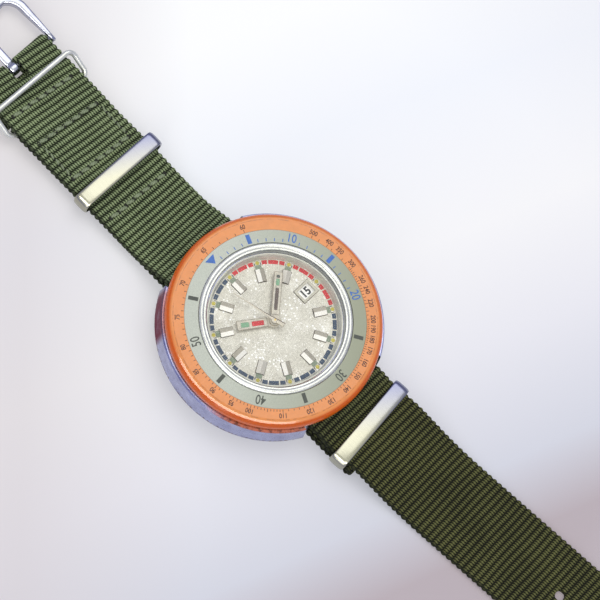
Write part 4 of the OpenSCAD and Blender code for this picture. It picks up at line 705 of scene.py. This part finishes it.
def stitch_run(track, name, start, end, count, thick=0.3):
    """Stitches of two twisted strands between two places (s, w), with a dark disc of painted shade for the
    hole at each end.
    """
    verts, faces, hole_shades = [], [], []
    n = 12
    (s0, w0), (s1, w1) = start, end
    run = math.dist(start, end)
    ds, dw = (s1 - s0) / run, (w1 - w0) / run
    pitch = run / count
    gap = 0.22
    pit_long, pit_wide = 1.3 * thick, 1.8 * thick
    rim_z, floor_z = 0.62, 0.56

    def add(new_verts, new_faces, hole_shade):
        base = len(verts)
        verts.extend(new_verts)
        faces.extend(shifted(new_faces, base))
        hole_shades.extend([hole_shade] * len(new_faces))

    for i in range(count + 1):
        jig = 0.16 * noise.noise(Vector((s0 + i * pitch, w0, 7.7)))
        mid = i * pitch - 0.5 * pitch * gap
        rim = []
        for a in (2 * math.pi * k / n for k in range(n)):
            d, off = mid + pit_long * math.cos(a), pit_wide * math.sin(a) + jig
            rim.append(track.frame(s0 + ds * d - dw * off, w0 + dw * d + ds * off, rim_z))
        # A shallow dark disc at each stitch hole: painted shade.
        add(rim + [track.frame(s0 + ds * mid, w0 + dw * mid, floor_z)],
            [(k, (k + 1) % n, n) for k in range(n)], 1)
        if i == count:
            break
        for strand in (0, 1):
            points = []
            for k in range(n + 1):
                u = k / n
                turn = 2.6 * math.pi * u + strand * math.pi
                off = 0.57 * thick * math.cos(turn) + jig + 0.34 * (u - 0.5)
                d = i * pitch + pitch * 0.8 * u
                rise = 0.46 + thick * math.sin(math.pi * u) ** 0.6 + 0.33 * thick * math.sin(turn)
                points.append(Vector(track.frame(s0 + ds * d - dw * off, w0 + dw * d + ds * off, rise)))
            outline = [superellipse(g, g, 8, 2) for g in
                       (thick * (0.55 + 0.45 * math.sin(math.pi * k / n)) for k in range(n + 1))]
            add(*sweep(points, lambda k: outline[k]), 0)
    obj = piece(name, verts, faces, THREAD, ROOT)
    obj.data.materials.append(STITCH_HOLE_SHADE)
    for polygon, hole_shade in zip(obj.data.polygons, hole_shades):
        polygon.material_index = hole_shade
    return obj


STITCH_W = 7.7


def stitch_place(y, w):
    """A place on the upper layer, on the rib line that passes y at the middle."""
    return (main_track.nearest(y, main_track.length - 75, main_track.length - 12) - rib_lean(y) * w, w)


stitches = [stitch_run(main_track, name, stitch_place(y, -STITCH_W), stitch_place(y, STITCH_W), 7)
            for name, y in (("stitching_buckle", 68.4), ("stitching_upper", 60.6), ("stitching_keeper", 50.4),
                            ("stitching_lower", 39.3))]
for name, w in (("stitching_left", -STITCH_W), ("stitching_right", STITCH_W)):
    stitches.append(stitch_run(main_track, name, stitch_place(51.6, w), stitch_place(59.4, w), 5, 0.17))


# ---------- strap hardware ----------
# Height of the buckle loop's middle
LOOP_Z = PIN_Z + 0.1


def rounded_loop(w, h, r):
    """Points of a rounded rectangle round the origin, in X and Z."""
    pts = []
    for cx, cz, a in ((w / 2 - r, h / 2 - r, 0), (r - w / 2, h / 2 - r, 90),
                      (r - w / 2, r - h / 2, 180), (w / 2 - r, r - h / 2, 270)):
        pts += arc(cx, cz, r, a, a + 90, 6)
    return pts


def keeper_band(name, node, body, centre_x, centre_y, angle):
    """A flat band with eased edges, slightly bowed along its top."""
    z0, z1 = (corner[2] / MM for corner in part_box(node))
    h = z1 - z0 - KEEPER_T
    w = STRAP_W + KEEPER_ROOM + KEEPER_T
    loop = rounded_loop(w, h, KEEPER_CORNER)
    longest = 2.5
    dense = []
    for a, b in zip(loop, loop[1:] + loop[:1]):
        parts = max(1, int(math.dist(a, b) / longest))
        dense += [(a[0] + (b[0] - a[0]) * k / parts, a[1] + (b[1] - a[1]) * k / parts) for k in range(parts)]
    path = [Vector((x, 0, z + (KEEPER_BOW * (1 - (2 * x / w) ** 2) if z > 0 else 0))) for x, z in dense]
    path = [p for i, p in enumerate(path) if (p - path[i - 1]).length > 1e-4]
    outline = superellipse(KEEPER_T / 2, KEEPER_W / 2, 32, 2.9)
    verts, faces = sweep(path, lambda i: outline, True, Vector((0, 1, 0)))
    turn = Matrix.Rotation(math.radians(angle), 3, "Z")
    place = Vector((centre_x, centre_y, (z0 + z1) / 2))
    verts = [tuple(turn @ Vector(v) + place) for v in verts]
    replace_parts(piece(name, verts, faces, HARDWARE, body), node)


keeper_band("wide_keeper_band", "wide_keeper", "wide_keeper_body", STRAP_X + 0.2, WIDE_Y, 0)
keeper_band("tail_keeper_band", "tail_keeper", "tail_keeper_body", STRAP_X + 0.67, -TAIL_KEEPER_Y, TAIL_ANGLE)


def buckle_loop():
    """A loop whose sides thin out towards the pin."""
    eye = STRAP_W / 2 + 0.4
    half = eye + 0.8
    front, corner_r = 13.35, 4.3
    right = [(eye + 0.65, -0.9), (eye + 0.7, 1.5), (eye + 0.75, 4.0), (half - 0.05, 6.5)]
    side = right + arc(half - corner_r, front - corner_r, corner_r, 0, 90, 10)
    plan = side + [(x, front) for x in (4, 2, 0, -2, -4)] + [(-x, y) for x, y in reversed(side)]
    path = [Vector((STRAP_X + x, BUCKLE_Y + y, LOOP_Z)) for x, y in plan]

    def section(i):
        x, y = plan[i]
        t = min(1.0, max(0.0, y / 9.0))
        wide = 0.5 + 0.5 * t + (0.38 if abs(x) < half - 2.5 else 0.0)
        return superellipse(wide, 0.7 + 0.3 * t, 20, 3.2)
    verts, faces = sweep(path, section)
    pin = [Vector((STRAP_X + x, BUCKLE_Y, PIN_Z)) for x in (-eye - 0.7, -5, 0, 5, eye + 0.7)]
    v2, f2 = sweep(pin, lambda i: superellipse(PIN_D / 2, PIN_D / 2, 20, 2))
    obj = piece("buckle_loop", verts + v2, faces + shifted(f2, len(verts)), BUCKLE_STEEL, "buckle")
    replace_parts(obj, "buckle_frame")


def buckle_tongue():
    """A tongue that curls round the pin and lies on the front bar."""
    r = PIN_D / 2 + 0.35
    rise = LOOP_Z + 1.0 + 0.5
    curl = [(BUCKLE_Y + y, z) for y, z in arc(0, PIN_Z, r, -60, -330, 16)]
    shank = spline([(BUCKLE_Y + y, z) for y, z in (
        (0.3, PIN_Z - 0.4), (1.1, PIN_Z + 0.55), (4, PIN_Z + 0.9), (9, rise - 0.15), (12.5, rise),
        (14.5, rise), (16, rise))], 5)
    pts = curl + shank + [(BUCKLE_Y + 14.5 + d, rise) for d in (0.08, 0.14, 0.18, 0.2)]
    path = [Vector((STRAP_X, y, z)) for y, z in pts]
    tip = 1.2

    def section(i):
        left = (path[-1] - path[i]).length + 0.02
        wide = 1.0 if left > tip or i < len(curl) else math.sqrt(1 - (1 - left / tip) ** 2)
        wide *= min(1.0, 0.55 + 0.15 * i)
        return superellipse(0.34 if i < len(curl) else 0.45 * (0.4 + 0.6 * wide), wide, 20, 2.6)
    verts, faces = sweep(path, section, False, Vector((1, 0, 0)))
    obj = piece("buckle_tongue_bar", verts, faces, BUCKLE_STEEL, "tongue")
    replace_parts(obj, "buckle_tongue")


buckle_loop()
buckle_tongue()


# ---------- printing and small fittings on the head ----------
class Print:
    """Flat marks on a surface, laid out by clockwise angle and radius and joined into one piece."""

    def __init__(self, height, lift=0.02):
        self.height, self.lift = height, lift
        self.verts, self.faces = [], []

    def place(self, points, faces, angle, radius, spin=0.0):
        """Points are (across, outward) at a place on the dial; across runs clockwise."""
        c, s = math.cos(math.radians(spin)), math.sin(math.radians(spin))
        moved = [(radius + (s * px + c * py), s * py - c * px) for px, py in points]
        self.faces += shifted(faces, len(self.verts))
        for x, y, _ in turned(moved, angle, 0):
            self.verts.append((x, y, self.height(math.hypot(x, y)) + self.lift))

    def bar(self, angle, r0, r1, width):
        """A radial bar, cut into lengths so that it follows a sloping surface."""
        n = max(1, int((r1 - r0) / 0.6))
        pts, faces = [], []
        for i in range(n + 1):
            v = (r1 - r0) * i / n
            pts += [(-width / 2, v), (width / 2, v)]
            if i:
                faces.append((2 * i - 2, 2 * i - 1, 2 * i + 1, 2 * i))
        self.place(pts, faces, angle, r0)

    def dot(self, angle, r, size):
        pts = [(size * math.cos(t * math.pi / 8), size * math.sin(t * math.pi / 8)) for t in range(16)]
        self.place(pts, [tuple(range(16))], angle, r)

    def segment(self, a0, a1, r0, r1):
        """A piece of a ring between two angles."""
        n = max(2, int(abs(a1 - a0) / 2) + 1)
        base = len(self.verts)
        for i in range(n + 1):
            a = math.radians(90 - (a0 + (a1 - a0) * i / n))
            for r in (r0, r1):
                self.verts.append((r * math.cos(a), r * math.sin(a), self.height(r) + self.lift))
        for i in range(n):
            k = base + 2 * i
            self.faces.append((k + 1, k, k + 2, k + 3))

    def text(self, words, angle, radius, size, squeeze, weight, spin=0.0):
        """Figures at a place, narrowed by squeeze and thickened by weight."""
        curve = bpy.data.curves.new("glyphs", "FONT")
        curve.body, curve.size = words, size
        curve.align_x, curve.align_y = "CENTER", "CENTER"
        curve.offset = weight
        curve.resolution_u = 4
        obj = add_object("glyphs", curve)
        mesh = bpy.data.meshes.new_from_object(obj.evaluated_get(bpy.context.evaluated_depsgraph_get()))
        ys = [v.co.y for v in mesh.vertices]
        mid = (min(ys) + max(ys)) / 2
        points = [(v.co.x * squeeze, v.co.y - mid) for v in mesh.vertices]
        faces = [tuple(p.vertices) for p in mesh.polygons]
        self.place(points, faces, angle, radius, spin)
        bpy.data.objects.remove(obj)
        bpy.data.curves.remove(curve)
        bpy.data.meshes.remove(mesh)

    def build(self, name, material, body, slot):
        piece(name, self.verts, self.faces, material, body, smooth=False)


# How far each ring is turned from 12, clockwise, and the radii of its marks
TACHY_TURN, TACHY_IN, TACHY_MID = 25.0, 19.1, 20.38
DIVE_TURN, DIVE_IN, DIVE_MID, DIVE_OUT, DIVE_EDGE = -4.0, 16.45, 17.6, 18.5, 18.95
TRACK_IN, TRACK_MID, TRACK_OUT = 12.45, 12.9, 13.32


def dive_height(r):
    """Height of the grey ring's surface, which rises towards its inner edge."""
    return TACHY_Z + 0.25 * (DIVE_EDGE - min(r, DIVE_EDGE)) / 2.8


def flat(z):
    """Height of a level surface."""
    return lambda r: z


def tachymeter_print():
    """Generic tachymeter scale: a speed stands at the angle of the seconds taken for one unit."""
    p = Print(flat(TACHY_Z))

    def at(value):
        return 60 * 360.0 / value + TACHY_TURN
    for v in [*range(60, 100, 5), *range(100, 200, 10), *range(200, 280, 20), 300, 350, 400, 500]:
        p.text(str(v), at(v), TACHY_MID, 1.42, squeeze=0.82, weight=0.028)
    for v in range(60, 111):
        p.bar(at(v), TACHY_IN, TACHY_IN + (0.46 if v % 5 else 0.66), 0.12)
    for v in [*range(112, 200, 2), *range(200, 300, 5), 310, 325, 350, 375, 400, 450, 500]:
        p.bar(at(v), TACHY_IN, 19.5 if v % 10 else 19.7, 0.11)
    p.build("tachymeter_print", INK_TACHY, "tachymeter", "orange_insert")


def dive_print():
    """Minutes of the grey ring: the first twenty are blue, with a triangle at the start."""
    blue, dark = Print(dive_height), Print(dive_height)
    for minute in range(1, 21):
        if minute % 5:
            blue.bar(6 * minute + DIVE_TURN, 16.4, 17.1, 0.17)
    tri = [(-1.28, 0.8), (0, -0.95), (1.28, 0.8)]
    blue.place(tri, [(0, 1, 2)], DIVE_TURN, DIVE_MID)
    for minute in (5, 15):
        blue.bar(6 * minute + DIVE_TURN, DIVE_IN, DIVE_OUT, 0.9)
    for minute, ink in ((10, blue), (20, blue), (30, dark), (40, dark), (50, dark)):
        ink.text(str(minute), 6 * minute + DIVE_TURN, DIVE_MID, 2.75, squeeze=0.78, weight=0.022)
    for minute in (25, 35, 45, 55):
        dark.bar(6 * minute + DIVE_TURN, DIVE_IN, DIVE_OUT, 0.82)
    blue.build("dive_ring_blue_print", INK_BLUE, "dive", "grey_insert")
    dark.build("dive_ring_dark_print", INK_DARK, "dive", "grey_insert")


def dial_print():
    """Minute track of the dial, red over the first third and navy after it, with a dot at each hour."""
    red, navy, black = (Print(flat(DIAL_Z), 0.015) for _ in range(3))
    yellow = Print(flat(DIAL_Z), 0.03)
    for h in range(12):
        ink = red if h < 4 else navy
        for a, b in ((4.2, 9.2), (10.4, 19.6), (20.8, 25.8)):
            ink.segment(30 * h + a, 30 * h + b, TRACK_IN, TRACK_OUT)
        yellow.dot(30 * h, TRACK_MID, 0.42)
        for side in (-1, 1):
            black.bar(30 * h + 3.0 * side, TRACK_IN, TRACK_IN + 0.5, 0.16)
    red.build("dial_red_track", INK_RED, ROOT, "dial_silver")
    navy.build("dial_navy_track", INK_NAVY, ROOT, "dial_silver")
    black.build("dial_black_track", INK_BLACK, ROOT, "dial_silver")
    yellow.build("dial_lume_dots", INK_YELLOW, ROOT, "dial_silver")


def slab(name, outline, z, t, material, body):
    """A thin plate on a hand, from an outline (outward, left of it)."""
    n = len(outline)
    verts = turned(outline, HAND_AT[body], z) + turned(outline, HAND_AT[body], z + t)
    faces = [tuple(range(n - 1, -1, -1)), tuple(range(n, 2 * n))]
    piece(name, verts, faces + band(n), material, body, smooth=False)


def rect(x, length, width):
    """Outline of a plate that starts at x, with small cut corners."""
    c, end, half = min(0.12, width * 0.2), x + length, width / 2
    return [(x, -half + c), (x + c, -half), (end - c, -half), (end, -half + c),
            (end, half - c), (end - c, half), (x + c, half), (x, half - c)]


def hand_border(name, x0, w0, x1, w1, z, body):
    """A thin line of painted shade round a hand's edge, from a half-width at x0 to another at x1."""
    line = 0.09
    outer = [(x0, -w0), (x1, -w1), (x1, w1), (x0, w0)]
    inner = [(x0 + line, -w0 + line), (x1 - line, -w1 + line), (x1 - line, w1 - line), (x0 + line, w0 - line)]
    verts = turned(outer + inner, HAND_AT[body], z)
    piece(name, verts, band(4), HAND_SHADE_INK, body, smooth=False)


def hands():
    """Inlays and painted shade along the edges of the CAD's three hands."""
    lift = 0.012
    z = HOUR_Z + 0.05
    slab("hour_hand_red_inlay", rect(2.2, 2.5, 1.0), z, 0.1, INK_RED, "hour")
    slab("hour_hand_lume_inlay", rect(5.35, 1.65, 1.0), z, 0.1, LUME, "hour")
    hand_border("hour_hand_shade_line", 1.4, 0.91, 7.88, 1.04, HOUR_Z + HAND_T + lift, "hour")
    z = MINUTE_Z + 0.05
    slab("minute_hand_grey_inlay", rect(2.25, 4.7, 0.7), z, 0.08, HAND_GREY, "minute")
    slab("minute_hand_lume_inlay", rect(7.55, 1.4, 0.7), z, 0.1, LUME, "minute")
    slab("minute_hand_tip_inlay", rect(9.2, 0.6, 0.7), z, 0.08, INK_DARK, "minute")
    hand_border("minute_hand_shade_line", 1.2, 0.87, 10.48, 0.89, MINUTE_Z + HAND_T + lift, "minute")
    # Painted shade: a dark strip along one side of the seconds hand.
    edge = [(-2.15, -0.52), (0.0, -0.38), (2.5, -0.15), (6.5, -0.1),
            (6.5, -0.06), (2.5, -0.02), (0.0, -0.2), (-2.15, -0.36)]
    hand_border("seconds_hand_tail_shade", -2.19, 0.54, -0.4, 0.43, SECONDS_Z + 0.16, "seconds")
    slab("seconds_hand_shade_line", edge, SECONDS_Z + 0.152, lift, HAND_GREY, "seconds")


def lume_plots():
    """A square of aged lume at the outer end of each hour marker."""
    verts, faces = [], []
    outline = rect(11.52, 0.9, 1.3)
    n = len(outline)
    for h in range(1, 13):
        if h == DATE_HOUR:
            continue
        base = len(verts)
        for z in (DIAL_Z + 0.01, DIAL_Z + 0.16):
            verts += turned(outline, 30 * h, z)
        faces.append(tuple(base + n + k for k in range(n)))
        faces += shifted(band(n), base)
    piece("lume_plots", verts, faces, PLOT, ROOT, smooth=False)


def marker_feet():
    """A dark line of painted shadow round the foot of each hour marker and of the window frame."""
    verts, faces = [], []
    low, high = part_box("date_window_frame")
    for h in range(1, 13):
        base = len(verts)
        for line in (0.11, -0.05):
            x0, x1, w = MARKER_IN - line, MARKER_IN + MARKER_L + line, MARKER_W / 2 + line
            if h == DATE_HOUR:
                x0, x1, w = low[0] / MM - line, high[0] / MM + line, high[1] / MM + line
            verts += turned([(x0, -w), (x1, -w), (x1, w), (x0, w)], 30 * h, DIAL_Z + 0.035)
        faces += shifted(band(4), base)
    piece("marker_feet", verts, faces, MARKER_SHADOW, ROOT, smooth=False)


def date_digits():
    """The day number under the window, upright when 12 is on top."""
    p = Print(flat(DATE_Z))
    p.text("15", 30 * DATE_HOUR, 9.75, 2.4, squeeze=0.95, weight=0.085, spin=90)
    p.build("date_digits", INK_BLACK, "date", "date_white")


tachymeter_print()
dive_print()
dial_print()
hands()
lume_plots()
marker_feet()
date_digits()

# ---------- finishes of the CAD nodes ----------
FINISH = {
    CASE_STEEL: "case caseback crown crown_tube",
    POLISHED: "crystal_hold_ring thin_keeper",
    BRIGHT: "hour_markers",
    SATIN: "rehaut_ring",
    FRAME: "date_window_frame",
    NYLON: "crystal_gasket",
    NEEDLE: "seconds_hand",
    STEEL: "ring_click_spring ring_snap_wire spring_bars click setting_lever yoke barrel_arbor ratchet_wheel"
           " crown_wheel escape_wheel pallet_fork cannon_pinion setting_wheel winding_pinion sliding_pinion"
           " winding_stem movement_holder calendar_plate",
    BRASS: "main_plate barrel_bridge train_bridge pallet_bridge balance_cock barrel_drum centre_wheel"
           " third_wheel fourth_wheel balance_wheel minute_wheel hour_wheel date_driving_wheel",
    BLUED: "mainspring hairspring bridge_screws",
    RUBBER: "caseback_gasket",
    ORANGE: "tachymeter_ring",
    GREY: "dive_ring",
    DIAL: "dial",
    HAND_CREAM: "hour_hand minute_hand",
    DATE_WHITE: "date_ring",
    GLASS: "crystal",
    RUBY: "jewels",
}
for material, nodes in FINISH.items():
    for node in nodes.split():
        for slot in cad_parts[node].material_slots:
            slot.material = material


# ---------- floor, light and camera ----------
def floor():
    """Pale paper a hair below the strap, with painted shading that fades out away from the watch, and a glow
    that weakens the shadows on it.
    """
    half, z = 3.0, -0.00002
    mesh = bpy.data.meshes.new("floor")
    corners = [(x * half, y * half, z) for x, y in ((-1, -1), (1, -1), (1, 1), (-1, 1))]
    mesh.from_pydata(corners, [], [(0, 1, 2, 3)])
    obj = add_object("floor", mesh)
    m = Mat("floor_paper", (240, 238, 240), 0.9)
    xyz = m.split()
    right, down = m.along(xyz, 0.72, -0.69), m.along(xyz, -0.74, -0.67)
    # Painted shade: the paper darkens towards half past seven and turns pinker towards half past ten.
    shade_fall = m.step(m.math("MULTIPLY_ADD", right, 0.5, down), -70.0, 65.0)
    tone = m.ramp(shade_fall, (0.0, (254, 255, 255)), (1.0, (186, 175, 181)), (0.22, (244, 247, 252)),
                  (0.48, (247, 247, 248)), (0.68, (234, 234, 240)), (0.88, (213, 215, 225)))
    tone = m.mix(m.step(right, -15.0, -50.0, 0.0, 0.6), tone, (212, 204, 206))
    tone = m.mix(m.step(m.radius()[0], 80.0, 170.0), tone, (232, 232, 237))
    # The paper glows: painted light that weakens the shadows on it.
    m.set("Base Color", m.mix(0.4, tone, (0, 0, 0)))
    m.set("Emission Color", tone)
    m.set("Emission Strength", 0.41)
    mesh.materials.append(m.mat)


def lamp(name, place, size, power, colour, height=None):
    """A soft lamp aimed at the origin. One with a height is a strip that shows only in gloss."""
    data = bpy.data.lights.new(name, "AREA")
    data.shape, data.size, data.energy, data.color = "ELLIPSE", size, power, colour
    data.size_y = height or size
    obj = add_object(name, data)
    obj.location = place
    obj.rotation_euler = (-Vector(place)).to_track_quat("-Z", "Y").to_euler()
    obj.visible_diffuse = height is None


def camera():
    """The camera fitted to the photo."""
    data = bpy.data.cameras.new("photo_camera")
    data.lens, data.sensor_width = 120.0, 36.0
    data.clip_start = 0.02
    obj = add_object("photo_camera", data)
    obj.location = (-0.1319105, -0.0241688, 0.3981776)
    obj.rotation_euler = (0.285281, -0.204556, -0.796474)
    bpy.context.scene.camera = obj


floor()
camera()
lamp("softbox_high", (0.55, 0.25, 1.15), 1.1, 4.8, (1.0, 0.99, 0.955))
lamp("softbox_left", (-0.9, -0.25, 0.55), 0.5, 1.3, (1.0, 0.98, 0.95))
for side, (x, y) in zip((165, 205, 245), arc(0, 0, 0.57, 165, 245, 2)):
    lamp("strip_%d" % side, (x, y, 0.75), 0.42, 2.4, (1.0, 0.97, 0.88), height=0.24)


def studio():
    """Surroundings: bright overhead, dim and lavender near the horizon."""
    world = bpy.data.worlds.new("studio")
    world.use_nodes = True
    tree = world.node_tree
    tex, lean, shift, ramp = (tree.nodes.new("ShaderNode" + kind)
                              for kind in ("TexCoord", "VectorMath", "Math", "ValToRGB"))
    lean.operation, shift.operation = "DOT_PRODUCT", "ADD"
    tree.links.new(tex.outputs["Generated"], lean.inputs[0])
    lean.inputs[1].default_value = (-0.09, -0.06, 0.5)
    tree.links.new(lean.outputs["Value"], shift.inputs[0])
    shift.inputs[1].default_value = 0.5
    tree.links.new(shift.outputs[0], ramp.inputs[0])
    set_stops(ramp.color_ramp, (
        (0.0, (205, 200, 208)), (0.48, (152, 153, 180)), (0.6, (168, 170, 200)), (0.72, (176, 179, 212)),
        (0.81, (192, 195, 218)), (0.88, (236, 236, 232)), (0.95, (254, 253, 246))))
    back = tree.nodes["Background"]
    tree.links.new(ramp.outputs["Color"], back.inputs[0])
    back.inputs[1].default_value = 0.95
    return world


scene = bpy.context.scene
scene.world = studio()
scene.view_settings.view_transform = "Standard"
